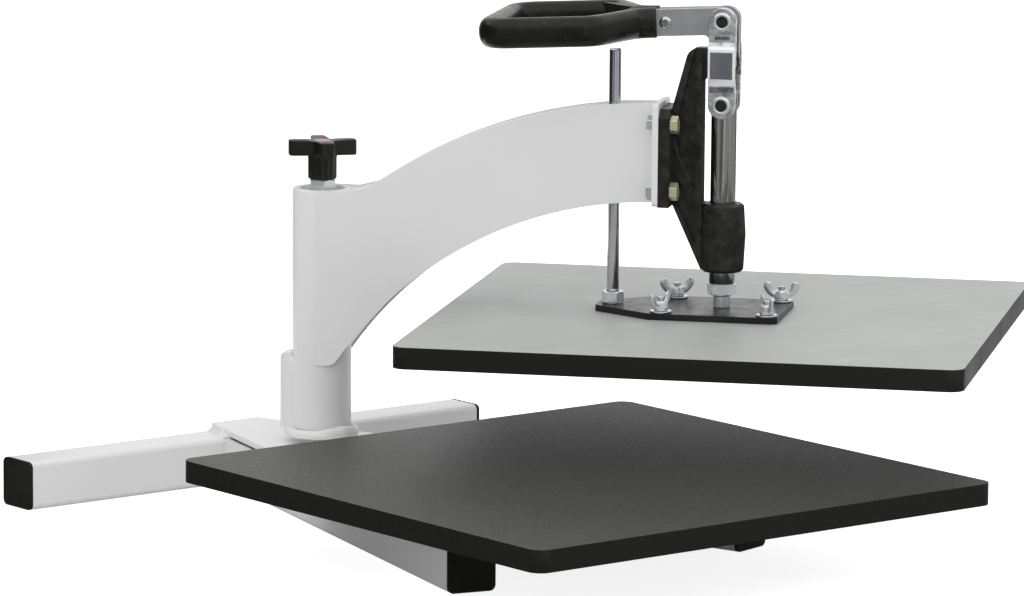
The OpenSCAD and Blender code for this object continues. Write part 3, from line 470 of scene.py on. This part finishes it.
ALONG_Z = (1, 1, 0.06)
ZINC_LIGHT = (0.72, 0.74, 0.77)
ZINC_DARK = (0.62, 0.64, 0.67)
METALS = {
    "bare_steel": (
        metal("bare_steel", (0.50, 0.50, 0.49), (0.40, 0.40, 0.39), 0.12, 0.20, ALONG_Z, 1500),
        ["plunger"],
    ),
    "zinc": (
        metal("zinc", ZINC_LIGHT, ZINC_DARK, 0.14, 0.22),
        [
            "main_pivot_pin", "handle_rivet", "upper_link_pin", "lower_link_bushes", "plunger_pin", "washers",
            "wing_nuts", "platen_spacers", "platen_bolts", "guide_rod",
        ],
    ),
    "satin_zinc": (
        metal("satin_zinc", (0.88, 0.90, 0.91), (0.76, 0.78, 0.80), 0.16, 0.24, metallic=0.72),
        ["ram_stud", "plunger_nut", "jam_nut", "guide_rod_nut", "clamp_bolts", "sleeve_plug"],
    ),
    "coarse_thread": (
        threaded("coarse_thread", ZINC_LIGHT, ZINC_DARK, 1.75, 0.0005),
        ["knob_screw"],
    ),
    "fine_thread": (
        threaded("fine_thread", ZINC_LIGHT, ZINC_DARK, 1.0, 0.0003),
        ["bracket_studs"],
    ),
    "yellow_zinc": (
        metal("yellow_zinc", (0.93, 0.89, 0.60), (0.86, 0.80, 0.50), 0.24, 0.30, metallic=0.75),
        ["clamp_nuts"],
    ),
    "bronze": (
        metal("bronze", (0.62, 0.43, 0.22), (0.48, 0.32, 0.16), 0.25, 0.40),
        ["thrust_pad"],
    ),
    "copper": (
        metal("copper", (0.66, 0.38, 0.26), (0.46, 0.26, 0.18), 0.30, 0.46),
        ["knob_insert"],
    ),
}
for key, (made, names) in METALS.items():
    coats[key] = made
    for name in names:
        dress(name, made)


# Softened edges on the solids


WELD_GAP = 1e-6
FLAT_ANGLE = math.radians(0.5)


def soften(name, width, segments=2, sharper=35):
    node = nodes[name]
    weld = node.modifiers.new("weld", "WELD")
    weld.merge_threshold = WELD_GAP
    merge = node.modifiers.new("flat", "DECIMATE")
    merge.decimate_type = "DISSOLVE"
    merge.angle_limit = FLAT_ANGLE
    edge = node.modifiers.new("edge", "BEVEL")
    edge.width = width * MM
    edge.segments = segments
    edge.limit_method = "ANGLE"
    edge.angle_limit = math.radians(sharper)
    edge.harden_normals = True


# Width, segments and the smallest angle that counts as an edge
SOFT_EDGES = {
    "sleeve": (1.8, 4), "clamp_body": (1.0, 3), "sleeve_collar": (1.5, 4), "stop_lug": (0.8, 3),
    "near_link": (1.2, 3, 20), "far_link": (1.2, 3, 20), "handle_strap": (0.8, 3),
}
OTHER_EDGES = (0.5, 2)
for name in nodes:
    soften(name, *SOFT_EDGES.get(name, OTHER_EDGES))


# Pieces built over rings of points


class Shape:
    """Collects skins over rings of points into one mesh."""

    def __init__(self):
        self.points = []
        self.faces = []

    def skin(self, rings, closed=False, caps=True):
        first = len(self.points)
        count = len(rings[0])
        for ring in rings:
            self.points.extend(ring)
        for i in range(len(rings) if closed else len(rings) - 1):
            a = first + i * count
            b = first + (i + 1) % len(rings) * count
            for k in range(count):
                n = (k + 1) % count
                self.faces.append((a + k, a + n, b + n, b + k))
        if caps and not closed:
            last = first + (len(rings) - 1) * count
            self.faces.append(tuple(range(first + count - 1, first - 1, -1)))
            self.faces.append(tuple(range(last, last + count)))

    def piece(self, name, coat, body, replaced=(), sharp=40):
        mesh = bpy.data.meshes.new(name)
        mesh.from_pydata(self.points, [], self.faces)
        work = bmesh.new()
        work.from_mesh(mesh)
        bmesh.ops.recalc_face_normals(work, faces=work.faces)
        work.to_mesh(mesh)
        work.free()
        for face in mesh.polygons:
            face.use_smooth = True
        mesh.set_sharp_from_angle(angle=math.radians(sharp))
        mesh.materials.append(coats[coat])
        made = bpy.data.objects.new(name, mesh)
        scene.collection.objects.link(made)
        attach(made, body)
        if replaced:
            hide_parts(*replaced)
        return made


ROUND = 40


def turned(profile, place, count=ROUND, radius=None):
    """Rings of a turned shape: (radius, height) pairs round the Z axis through a placing function."""
    rings = []
    for r, z in profile:
        ring = []
        for k in range(count):
            a = math.tau * k / count
            out = radius(r, a) if radius else r
            ring.append(place(out * math.cos(a), out * math.sin(a), z))
        rings.append(ring)
    return rings


def flat(x, y):
    return Vector((x, y))


def rounded_end(*shares):
    """0 at an end, and up on a quarter of a sine to 1 where the smallest share is 1."""
    return math.sin(math.pi / 2 * min(1.0, *shares))


def bend(a, b, c, r, steps):
    """Points of a round bend of radius r at b, on the way from a to c."""
    u = (a - b).normalized()
    w = (c - b).normalized()
    half = u.angle(w) / 2
    centre = b + (u + w).normalized() * r / math.sin(half)
    start = b + u * r / math.tan(half) - centre
    turn = math.copysign(math.pi - 2 * half, (b - a).x * (c - b).y - (b - a).y * (c - b).x)
    points = []
    for i in range(steps + 1):
        angle = turn * i / steps
        points.append(centre + flat(
            start.x * math.cos(angle) - start.y * math.sin(angle),
            start.x * math.sin(angle) + start.y * math.cos(angle),
        ))
    return points


# Handle grip: dipped vinyl round the loop

GRIP_W = 18
GRIP_H = 25
NECK_LEN = 15
FLARE_END = 97
LOOP_END = 185.5
LOOP_HALF = 64
LOOP_BENDS = (18, 13, 18)
BEND_STEPS = 10
STRAP_MID = 8.5
END_ROUND = ((0.0, 0.92), (0.3, 0.965), (0.8, 0.99), (1.8, 1.0))


def grip_section(count=36, fullness=2.15):
    """Points of the grip's section, between an ellipse and a rounded box."""
    section = []
    for i in range(count):
        angle = math.tau * i / count
        c = math.cos(angle)
        v = math.sin(angle)
        section.append((
            math.copysign(abs(c) ** (2 / fullness), c) * GRIP_W / 2,
            math.copysign(abs(v) ** (2 / fullness), v) * GRIP_H / 2,
        ))
    return section


def loop_path():
    """The loop's middle line seen from above, with a size for the section at each point."""
    a = flat(-GRIP_START, STRAP_MID)
    b = flat(-GRIP_START - NECK_LEN, STRAP_MID)
    c = flat(-FLARE_END, LOOP_HALF)
    d = flat(-LOOP_END, LOOP_HALF)
    e = flat(-LOOP_END, 0)
    half = [(a - flat(run, 0), size) for run, size in END_ROUND]
    for corner, radius in zip(((a, b, c), (b, c, d), (c, d, e)), LOOP_BENDS):
        half.extend((p, 1.0) for p in bend(*corner, radius, BEND_STEPS))
    half.append((e, 1.0))
    return half + [(flat(p.x, -p.y), size) for p, size in reversed(half[:-1])]


def make_grip():
    path = loop_path()
    section = grip_section()
    rings = []
    for i, (p, size) in enumerate(path):
        before = path[max(i - 1, 0)][0]
        after = path[min(i + 1, len(path) - 1)][0]
        way = (after - before).normalized()
        side = flat(-way.y, way.x)
        rings.append([on_handle(*(p - side * sx * size), sy * size) for sx, sy in section])
    shape = Shape()
    shape.skin(rings)
    shape.piece("vinyl_grip", "black_vinyl", "handle", ["handle_grip"], sharp=60)


make_grip()


# Star knob: rounded arms over a fluted hub

KNOB_OFF_ARM = 22
KNOB_TURN = math.radians(ARM_STORED + KNOB_OFF_ARM)
KNOB_Z = 266.3
KNOB_HUB_H = 19.5
KNOB_R = 28
KNOB_ARM = 8
KNOB_T = 13.3
KNOB_CUTS = (KNOB_R, 24, 12.5, KNOB_ARM, 3)
KNOB_LEVELS = (0, 1.6, 6, 11.2, KNOB_T)
KNOB_TAPER = 0.26
KNOB_DISH = 1.0
KNOB_FLUTES = 14
FLUTE_DEPTH = 1.0
FLUTE_POINTS = 6
KNOB_HUB = ((11.0, 0), (11.7, 0.4), (12, 1.2), (12, 17), (12.3, 19.5), (12.6, 20.6))
# A cell's six sides: the way out, and the corners round it
CELL_SIDES = (
    ((1, 0, 0), ((1, 0, 0), (1, 1, 0), (1, 1, 1), (1, 0, 1))),
    ((-1, 0, 0), ((0, 0, 0), (0, 0, 1), (0, 1, 1), (0, 1, 0))),
    ((0, 1, 0), ((0, 1, 0), (0, 1, 1), (1, 1, 1), (1, 1, 0))),
    ((0, -1, 0), ((0, 0, 0), (1, 0, 0), (1, 0, 1), (0, 0, 1))),
    ((0, 0, 1), ((0, 0, 1), (1, 0, 1), (1, 1, 1), (0, 1, 1))),
    ((0, 0, -1), ((0, 0, 0), (0, 1, 0), (1, 1, 0), (1, 0, 0))),
)


def on_knob(x, y, z):
    return COLUMN + Vector((
        x * math.cos(KNOB_TURN) - y * math.sin(KNOB_TURN),
        x * math.sin(KNOB_TURN) + y * math.cos(KNOB_TURN),
        KNOB_Z + z,
    )) * MM


def make_knob_arms():
    """A cross cut from a grid of cells, tapered outwards and dished on top, then smoothed."""
    cuts = [-c for c in KNOB_CUTS] + list(reversed(KNOB_CUTS))
    across = range(len(cuts) - 1)
    upward = range(len(KNOB_LEVELS) - 1)

    def filled(i, j, k):
        if not (i in across and j in across and k in upward):
            return False
        x = (cuts[i] + cuts[i + 1]) / 2
        y = (cuts[j] + cuts[j + 1]) / 2
        return min(abs(x), abs(y)) < KNOB_ARM

    def corner(i, j, k):
        x, y, z = cuts[i], cuts[j], KNOB_LEVELS[k]
        slim = 1 - KNOB_TAPER * max(abs(x), abs(y)) / KNOB_R
        if abs(x) > KNOB_ARM:
            y *= slim
        if abs(y) > KNOB_ARM:
            x *= slim
        if z == KNOB_T and max(abs(x), abs(y)) <= KNOB_ARM:
            z -= KNOB_DISH
        return on_knob(x, y, KNOB_HUB_H + z)

    shape = Shape()
    index = {}

    def point(*key):
        if key not in index:
            index[key] = len(shape.points)
            shape.points.append(corner(*key))
        return index[key]

    for i, j, k in itertools.product(across, across, upward):
        if not filled(i, j, k):
            continue
        for way, loop in CELL_SIDES:
            if not filled(i + way[0], j + way[1], k + way[2]):
                shape.faces.append(tuple(point(i + a, j + b, k + c) for a, b, c in loop))
    arms = shape.piece("knob_arms", "black_plastic", "knob", ["star_knob"], sharp=180)
    smooth = arms.modifiers.new("smooth", "SUBSURF")
    smooth.levels = 2
    smooth.render_levels = 2


def make_knob_hub():
    def fluted(r, angle):
        return r - FLUTE_DEPTH * (0.5 + 0.5 * math.cos(KNOB_FLUTES * angle)) ** 2

    shape = Shape()
    shape.skin(turned(KNOB_HUB, on_knob, FLUTE_POINTS * KNOB_FLUTES, fluted))
    shape.piece("knob_hub", "black_plastic", "knob")


make_knob_arms()
make_knob_hub()


# Wing nuts: cast hubs with rounded ears

NUT_TURNS = (68, -62, 28, 5)
STUD_ALONG = 87
STUD_ACROSS = 78
WASHER_TOP = 173.6
NUT_HUB = ((4.6, 0), (5.7, 0.2), (6.1, 0.8), (5.9, 3), (5.3, 6), (4.9, 7.5), (4.3, 8), (3.1, 8.05))
NUT_HUB_STEPS = 24
EAR_PATH = ((3.2, 3.4), (6.2, 4.2), (8.8, 6.2), (10.6, 9.0), (11.3, 11.2))
EAR_WIDE = (2.6, 2.6, 2.9, 3.4, 3.7)
EAR_THICK = (2.3, 1.9, 1.5, 1.3, 1.25)
EAR_TIP = (30, 55, 75, 86)


def ear_rings(place, side, count=14):
    """Rings of one ear along its curved path, closed by a round tip."""
    rings = []

    def ring(x, z, way, wide, thick):
        out = flat(-way.y, way.x)
        made = []
        for k in range(count):
            a = math.tau * k / count
            reach = wide * math.cos(a)
            made.append(place(side * (x + out.x * reach), thick * math.sin(a), z + out.y * reach))
        rings.append(made)

    for i, (x, z) in enumerate(EAR_PATH):
        before = EAR_PATH[max(i - 1, 0)]
        after = EAR_PATH[min(i + 1, len(EAR_PATH) - 1)]
        way = flat(after[0] - before[0], after[1] - before[1]).normalized()
        ring(x, z, way, EAR_WIDE[i], EAR_THICK[i])
    x, z = EAR_PATH[-1]
    for step in EAR_TIP:
        a = math.radians(step)
        run = EAR_WIDE[-1] * math.sin(a)
        thick = EAR_THICK[-1] * (0.55 + 0.45 * math.cos(a))
        ring(x + way.x * run, z + way.y * run, way, EAR_WIDE[-1] * math.cos(a), thick)
    return rings


def make_wing_nuts():
    shape = Shape()
    for i, turn in enumerate(NUT_TURNS):
        angle = math.radians(turn)
        seat = ((i % 2 - 0.5) * STUD_ALONG, (i // 2 - 0.5) * STUD_ACROSS)

        def place(x, y, z):
            return on_press(
                seat[0] + x * math.cos(angle) - y * math.sin(angle),
                seat[1] + x * math.sin(angle) + y * math.cos(angle),
                WASHER_TOP + z,
            )

        shape.skin(turned(NUT_HUB, place, NUT_HUB_STEPS))
        for side in (1, -1):
            shape.skin(ear_rings(place, side))
    shape.piece("cast_wing_nuts", "satin_zinc", "ram", ["wing_nuts"], 50)


make_wing_nuts()


# Hexagon nuts with chamfered corners

NUT_CHAMFER = math.tan(math.radians(30))
NUT_RIM = 0.475
NUT_STEP = 5


def nut_rings(place, af, bore, low, high):
    """Rings of a hexagon nut, with its corners turned off at both faces."""
    rim = NUT_RIM * af

    def radius(k):
        off = math.radians((NUT_STEP * k + 30) % 60 - 30)
        return af / 2 / math.cos(off)

    def drop(r):
        return max(0.0, r - rim) * NUT_CHAMFER

    def ring(size, height):
        made = []
        for k in range(360 // NUT_STEP):
            a = math.radians(NUT_STEP * k)
            r = size(k)
            made.append(place(r * math.sin(a), r * math.cos(a), height(r)))
        return made

    return [
        ring(lambda k: bore, lambda r: low), ring(lambda k: rim, lambda r: low),
        ring(radius, lambda r: low + drop(r)), ring(radius, lambda r: high - drop(r)),
        ring(lambda k: rim, lambda r: high), ring(lambda k: bore, lambda r: high),
    ]


def on_column(x, y, z):
    return COLUMN + Vector((x, y, z)) * MM


ROD_BACK = 90.3


def on_rod(x, y, z):
    return on_press(x - ROD_BACK, y, z)


# (node, placing function, size across flats, bore's radius, body)
NUTS = (
    ("jam_nut", on_column, 20.4, 6.2, "arm"),
    ("plunger_nut", on_press, 21, 6.2, "ram"),
    ("guide_rod_nut", on_rod, 16, 5.7, "ram"),
)


def make_nuts():
    for node, place, af, bore, body in NUTS:
        low, high = (corner.z / MM for corner in map(Vector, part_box(node)))
        shape = Shape()
        shape.skin(nut_rings(place, af, bore, low, high), closed=True)
        shape.piece(f"{node}_cut", "satin_zinc", body, [node], 25)


make_nuts()


# Wider foot of the ram's stud

STUD_FOOT = ((6.3, 172.0), (6.9, 172.5), (6.9, 181.3), (6.5, 181.9), (6.1, 182.3))


def make_stud_foot():
    shape = Shape()
    shape.skin(turned(STUD_FOOT, on_press))
    shape.piece("stud_foot", "satin_zinc", "ram", sharp=30)


make_stud_foot()


# Curved ridges on the casting's two faces

RIDGE = (
    (-41.0, 312.0), (-39.6, 304.0), (-36.6, 293.5), (-30.4, 281.2), (-24.3, 269.0), (-20.9, 262.3),
    (-18.6, 257.4),
)
RIDGE_OUT = 5.4
RIDGE_R = 2.7
RIDGE_WIDER = 1.25
RIDGE_SIDES = 12


def smooth_path(points, steps=6):
    """Catmull-Rom points through a list of pairs."""
    made = []
    for i in range(len(points) - 1):
        around = (max(i - 1, 0), i, i + 1, min(i + 2, len(points) - 1))
        before, a, b, after = (flat(*points[k]) for k in around)
        for k in range(steps):
            t = k / steps
            made.append(
                0.5 * (2 * a + (b - before) * t + (2 * before - 5 * a + 4 * b - after) * t * t
                       + (3 * a - before - 3 * b + after) * t ** 3)
            )
    return made + [flat(*points[-1])]


def make_ridges():
    shape = Shape()
    path = smooth_path(RIDGE)
    for side in (1, -1):
        rings = []
        for i, p in enumerate(path):
            way = (path[min(i + 1, len(path) - 1)] - path[max(i - 1, 0)]).normalized()
            across = flat(-way.y, way.x)
            size = RIDGE_R * (0.25 + 0.75 * rounded_end((i + 0.2) / 6, (len(path) - 0.8 - i) / 4))
            ring = []
            for k in range(RIDGE_SIDES):
                a = math.tau * k / RIDGE_SIDES
                q = p + across * size * RIDGE_WIDER * math.cos(a)
                ring.append(on_press(q.x, side * (RIDGE_OUT + size * math.sin(a)), q.y))
            rings.append(ring)
        shape.skin(rings)
    shape.piece("casting_ridges", "black_casting", "arm", sharp=70)


make_ridges()


# Rolled heads of the hollow link pins, with dark discs in the bores as painted shade

HEAD_RING = (
    (4.75, -1.4), (4.75, 0.4), (4.95, 0.85), (5.4, 1.15), (6.0, 1.2), (6.7, 1.0), (7.3, 0.55), (7.7, -0.1),
    (7.8, -1.0),
)
# Dark disc in each bore: painted shade of the hollow pin's inside
BORE_SHADE = ((4.9, -1.0), (4.9, 0.02), (4.2, 0.1), (1.2, 0.12))


def make_pin_heads():
    rings = Shape()
    ends = Shape()
    face = LINK_OUT + PIN_HEAD_T
    for z in (PIN_B, PIN_C):
        for side in (1, -1):

            def place(x, y, out):
                return on_press(x, side * (face + out), z + y)

            rings.skin(turned(HEAD_RING, place), closed=True)
            ends.skin(turned(BORE_SHADE, place))
    rings.piece("pin_heads", "satin_zinc", "link", sharp=50)
    # The dark discs are painted shade in the pins' bores
    ends.piece("pin_bore_shade", "black_casting", "link")


make_pin_heads()


# Welds under the paint, and painted shadow lines under the base plate's edges

# Share, rate and shift of each wave in an uneven weld
WOBBLE = ((0.5, 9.1, 1.0), (0.3, 23.7, 2.3), (0.2, 51.3, 4.1))
WOBBLE_PER_METRE = 20


def wobble(t, seed):
    return sum(share * math.sin(rate * t + shift * seed) for share, rate, shift in WOBBLE)


def bead_rings(path, radius, seed, uneven=0.22, step=1.2, count=10, closed=False, swell=None):
    """Rings of a weld bead along a polyline given in metres."""
    ends = list(zip(path, path[1:] + path[:1] if closed else path[1:]))
    points = []
    for a, b in ends:
        parts = max(2, int((b - a).length / (step * MM)))
        points.extend(a.lerp(b, i / parts) for i in range(parts))
    if not closed:
        points.append(path[-1])
    rings = []
    run = 0.0
    for i, p in enumerate(points):
        before = points[i - 1] if closed else points[max(i - 1, 0)]
        after = points[(i + 1) % len(points)] if closed else points[min(i + 1, len(points) - 1)]
        way = (after - before).normalized()
        side = way.cross(UP)
        side = (side if side.length > 0.1 else way.cross(ALONG)).normalized()
        top = side.cross(way)
        size = radius * (1 + uneven * wobble(run * WOBBLE_PER_METRE, seed))
        high = 1.0
        if swell:
            size, high = (v * w for v, w in zip((size, high), swell(p)))
        if not closed:
            from_end = min(i, len(points) - 1 - i)
            size *= 0.55 + 0.45 * rounded_end((from_end + 0.5) / 4)
        ring = []
        for k in range(count):
            a = math.tau * k / count
            ring.append(p + (side * math.cos(a) + top * math.sin(a) * high) * size * MM)
        rings.append(ring)
        run += (after - p).length
    return rings


COLLAR_R = 27.6
COLLAR_Z = 57.2
COLLAR_STEPS = 72
COLLAR_BEAD = 1.9
LUMP_WAY = (ALONG * 0.78 - ACROSS * 0.63).to_2d().normalized()
LUMP_FOCUS = 7
LUMP_WIDER = 1.35
LUMP_HIGHER = 0.25
ARM_END = 280.8
ARM_LOW = 258
ARM_TOP = 339
FLANGE_SIDE = 13.2
FLANGE_BEAD = 2.1
LUG_SIDE = 9
LUG_FOOT = 58
LUG_TOP = 121
LUG_STEP = 2
LUG_FADE = 8
LUG_SINK = 0.4
# The lug's run-out into the sleeve: along the arm, and out from the lug's side
LUG_RUN_OUT = (
    (-30.5, 0.1), (-28.5, 0.25), (-26.2, 0.8), (-24.2, 1.8), (-22.4, 3.4), (-20.6, 5.2), (-19.4, 6.2),
    (-18.6, 6.3), (-20, 1), (-24, -1), (-30, -1),
)


def collar_swell(p):
    """How much wider and higher the collar's bead is where the weld ended in a lump."""
    way = (p - COLUMN).to_2d().normalized()
    lump = max(0.0, way.dot(LUMP_WAY)) ** LUMP_FOCUS
    return 1 + LUMP_WIDER * lump, 1 + LUMP_HIGHER * lump


def make_arm_welds():
    shape = Shape()
    collar, = turned([(COLLAR_R, COLLAR_Z)], on_arm, COLLAR_STEPS)
    bead = bead_rings(collar, COLLAR_BEAD, seed=1.7, uneven=0.12, closed=True, swell=collar_swell)
    shape.skin(bead, closed=True)
    for side in (1, -1):
        edge = [on_arm(ARM_END - 0.6, side * FLANGE_SIDE, z) for z in (ARM_LOW + 4, ARM_TOP - 5)]
        shape.skin(bead_rings(edge, FLANGE_BEAD, seed=3 + side))
        rings = []
        for z in range(LUG_FOOT, LUG_TOP - 1, LUG_STEP):
            fade = min(1.0, (LUG_TOP - z) / LUG_FADE)
            rings.append([
                on_arm(x, side * (LUG_SIDE - LUG_SINK + (out + LUG_SINK) * fade), z) for x, out in LUG_RUN_OUT
            ])
        shape.skin(rings)
    shape.piece("arm_welds", "white_paint", "arm", sharp=70)


TUBE_TOP = 40
PLATE_Z = 46
PLATE_EDGE = ((24.0, 18.0), (27.0, 8.0), (30.7, -4.0), (34.9, -20.0))
# Line and bead of the painted shadow under the base plate's front edges
SHADOW_GAP_LINE = ((36.2, -25.0), (42.0, -46.8), (52.0, -84.6))
SHADOW_GAP_BEAD = 0.65
BACK_HALF = 21
BACK_BEAD = 1.4
FILLET_LEG = 7.0
FILLET_IN = -2.0
FILLET_RINGS = 24
FILLET_CURVE = (0.2, 0.4, 0.6, 0.8)


def make_base_welds():
    shape = Shape()
    for side in (1, -1):
        rings = []
        for i in range(FILLET_RINGS + 1):
            t = i / FILLET_RINGS * (len(PLATE_EDGE) - 1)
            k = min(int(t), len(PLATE_EDGE) - 2)
            x, y = (a + (b - a) * (t - k) for a, b in zip(PLATE_EDGE[k], PLATE_EDGE[k + 1]))
            grow = rounded_end((i + 0.6) / 5, (FILLET_RINGS + 0.6 - i) / 8)
            leg = FILLET_LEG * grow * (1 + 0.08 * wobble(i / 9, 2 + side))
            rise = (PLATE_Z - TUBE_TOP) * (0.35 + 0.6 * grow)
            ring = [(FILLET_IN, TUBE_TOP - 0.5), (leg, TUBE_TOP - 0.2)]
            for step in FILLET_CURVE:
                ring.append((leg * (1 - step) ** 1.25, TUBE_TOP + rise * step ** 1.1))
            ring += [(0.0, TUBE_TOP + rise), (FILLET_IN, TUBE_TOP + rise - 0.4)]
            rings.append([Vector((side * (x + out), y, z)) * MM for out, z in ring])
        shape.skin(rings)
    back = [Vector((x, PLATE_EDGE[0][1] + 0.1, TUBE_TOP + 0.6)) * MM for x in (-BACK_HALF, BACK_HALF)]
    shape.skin(bead_rings(back, BACK_BEAD, seed=2.2, uneven=0.1))
    shape.piece("base_welds", "white_paint", "base", sharp=70)
    # A dark bead along the plate's front edges: painted shadow of the gap under the plate
    shadow_gap = Shape()
    for side in (1, -1):
        line = [Vector((side * (x + 0.1), y, TUBE_TOP + 0.8)) * MM for x, y in SHADOW_GAP_LINE]
        shadow_gap.skin(bead_rings(line, SHADOW_GAP_BEAD, seed=5 + side, uneven=0.15, step=3, count=8))
    shadow_gap.piece("plate_shadow_gaps", "black_plastic", "base")


make_arm_welds()
make_base_welds()


# Stage: floor, world, cards and lamps

FLOOR_LIFT = 0.85
FLOOR_SIZE = 60
WORLD_LIGHT = 0.66


def background_rays(tree):
    """1 for camera, glossy and transmission rays, which see the background itself."""
    ray = tree.nodes.new("ShaderNodeLightPath")
    seen = ray.outputs["Is Camera Ray"]
    for output in ("Is Glossy Ray", "Is Transmission Ray"):
        either = tree.nodes.new("ShaderNodeMath")
        either.operation = "MAXIMUM"
        tree.links.new(seen, either.inputs[0])
        tree.links.new(ray.outputs[output], either.inputs[1])
        seen = either.outputs["Value"]
    return seen


def floor_material():
    finish = Finish("pale_floor", roughness=0.9, specular=0.2)
    cloud = finish.remap(finish.noise(2, 3), 0, 1)
    finish.colour(finish.mix(cloud, (0.80, 0.80, 0.80), (0.79, 0.79, 0.79)))
    lift = finish.add("ShaderNodeMath", operation="MULTIPLY")
    finish.link(background_rays(finish.tree), lift.inputs[0])
    lift.inputs[1].default_value = FLOOR_LIFT
    finish.shader.inputs["Emission Color"].default_value = (1, 1, 1, 1)
    finish.link(lift.outputs["Value"], finish.shader.inputs["Emission Strength"])
    return finish.material


def make_floor():
    mesh = bpy.data.meshes.new("floor")
    half = FLOOR_SIZE / 2
    low = cad_box[0].z
    corners = [(-half, -half, low), (half, -half, low), (half, half, low), (-half, half, low)]
    mesh.from_pydata(corners, [], [(0, 1, 2, 3)])
    floor = bpy.data.objects.new("floor", mesh)
    mesh.materials.append(floor_material())
    scene.collection.objects.link(floor)


def make_world():
    world = bpy.data.worlds.new("studio")
    scene.world = world
    world.use_nodes = True
    tree = world.node_tree
    sky = tree.nodes["Background"]
    sky.inputs["Color"].default_value = (1, 1, 1, 1)
    level = tree.nodes.new("ShaderNodeMapRange")
    level.inputs["To Min"].default_value = WORLD_LIGHT
    level.inputs["To Max"].default_value = 1.0
    tree.links.new(background_rays(tree), level.inputs["Value"])
    tree.links.new(level.outputs["Result"], sky.inputs["Strength"])


# Round the cards' middle: towards the camera, and to its left
NEAR = Vector((math.sin(VIEW_AZIMUTH), -math.cos(VIEW_AZIMUTH), 0))
LEFT = Vector((-math.cos(VIEW_AZIMUTH), -math.sin(VIEW_AZIMUTH), 0))
CARD_MIDDLE = Vector((0.12, -0.40, 0))
CARD_DISTANCE = 1.15
CARD_FOOT = 0.005
CARD_TOP = 0.9
CARD_STEP = 6
# Start and end in degrees from the camera's side, and grey level
CARDS = (
    (-150, -118, 0.18), (-118, -60, 0.36), (-60, 8, 0.42), (8, 14, 0.85), (14, 40, 0.14), (40, 62, 0.34),
    (62, 150, 0.03),
)
CARD_SPREAD = (0.85, 1.15)
FLOOR_CARD = (-120, 120, 0.16)
FLOOR_CARD_STEPS = 24
FLOOR_CARD_IN = 0.05
FLOOR_CARD_Z = 0.001


def card_material(name, level):
    finish = Finish(name, roughness=0.9, specular=0.0)
    finish.shader.inputs["Base Color"].default_value = (0, 0, 0, 1)
    soft = finish.remap(finish.noise(1.5, 2), 0, 1)
    darker, lighter = ((level * share,) * 3 for share in CARD_SPREAD)
    tone = finish.mix(soft, darker, lighter)
    finish.link(tone, finish.shader.inputs["Emission Color"])
    finish.shader.inputs["Emission Strength"].default_value = 1
    return finish.material


def reflected_only(name, pairs, level):
    """A grey card over pairs of points, which shows only in reflections."""
    points = [p for pair in pairs for p in pair]
    faces = [(2 * i, 2 * i + 2, 2 * i + 3, 2 * i + 1) for i in range(len(pairs) - 1)]
    mesh = bpy.data.meshes.new(name)
    mesh.from_pydata(points, [], faces)
    mesh.materials.append(card_material(name, level))
    card = bpy.data.objects.new(name, mesh)
    scene.collection.objects.link(card)
    card.visible_camera = False
    card.visible_diffuse = False
    card.visible_shadow = False
    card.visible_transmission = False


def fan(start, end, steps):
    """Level directions spread evenly over an angle."""
    ways = []
    for i in range(steps + 1):
        angle = math.radians(start + (end - start) * i / steps)
        ways.append(NEAR * math.cos(angle) + LEFT * math.sin(angle))
    return ways


def make_cards():
    """Cards round the camera's side, and one on the floor before them."""
    for number, (start, end, level) in enumerate(CARDS):
        ways = fan(start, end, max(2, int((end - start) / CARD_STEP)))
        feet = [CARD_MIDDLE + way * CARD_DISTANCE for way in ways]
        reflected_only(f"card_{number}", [(p + UP * CARD_FOOT, p + UP * CARD_TOP) for p in feet], level)
    start, end, level = FLOOR_CARD
    middle = CARD_MIDDLE + UP * FLOOR_CARD_Z
    ways = fan(start, end, FLOOR_CARD_STEPS)
    spread = [(middle + way * FLOOR_CARD_IN, middle + way * CARD_DISTANCE) for way in ways]
    reflected_only("card_floor", spread, level)


# Name, place, aim, size and power
LAMPS = (
    ("overhead", (-0.4, -0.8, 3.0), (0.1, -0.3, 0.1), (4.6, 4.2), 44),
    ("left_front", (-3.0, -2.2, 1.8), (0.1, -0.3, 0.2), (2.2, 2.2), 20),
    ("right_front", (3.0, -2.4, 1.8), (0.1, -0.3, 0.2), (2.2, 2.2), 26),
)


def make_lamps():
    """Soft lamps that don't show in reflections."""
    for name, place, aim, size, power in LAMPS:
        data = bpy.data.lights.new(name, "AREA")
        data.shape = "RECTANGLE"
        data.size, data.size_y = size
        data.energy = power
        lamp = bpy.data.objects.new(name, data)
        lamp.location = place
        lamp.rotation_euler = (Vector(aim) - Vector(place)).to_track_quat("-Z", "Y").to_euler()
        lamp.visible_glossy = False
        scene.collection.objects.link(lamp)


make_floor()
make_world()
make_cards()
make_lamps()

scene.view_settings.view_transform = "Standard"
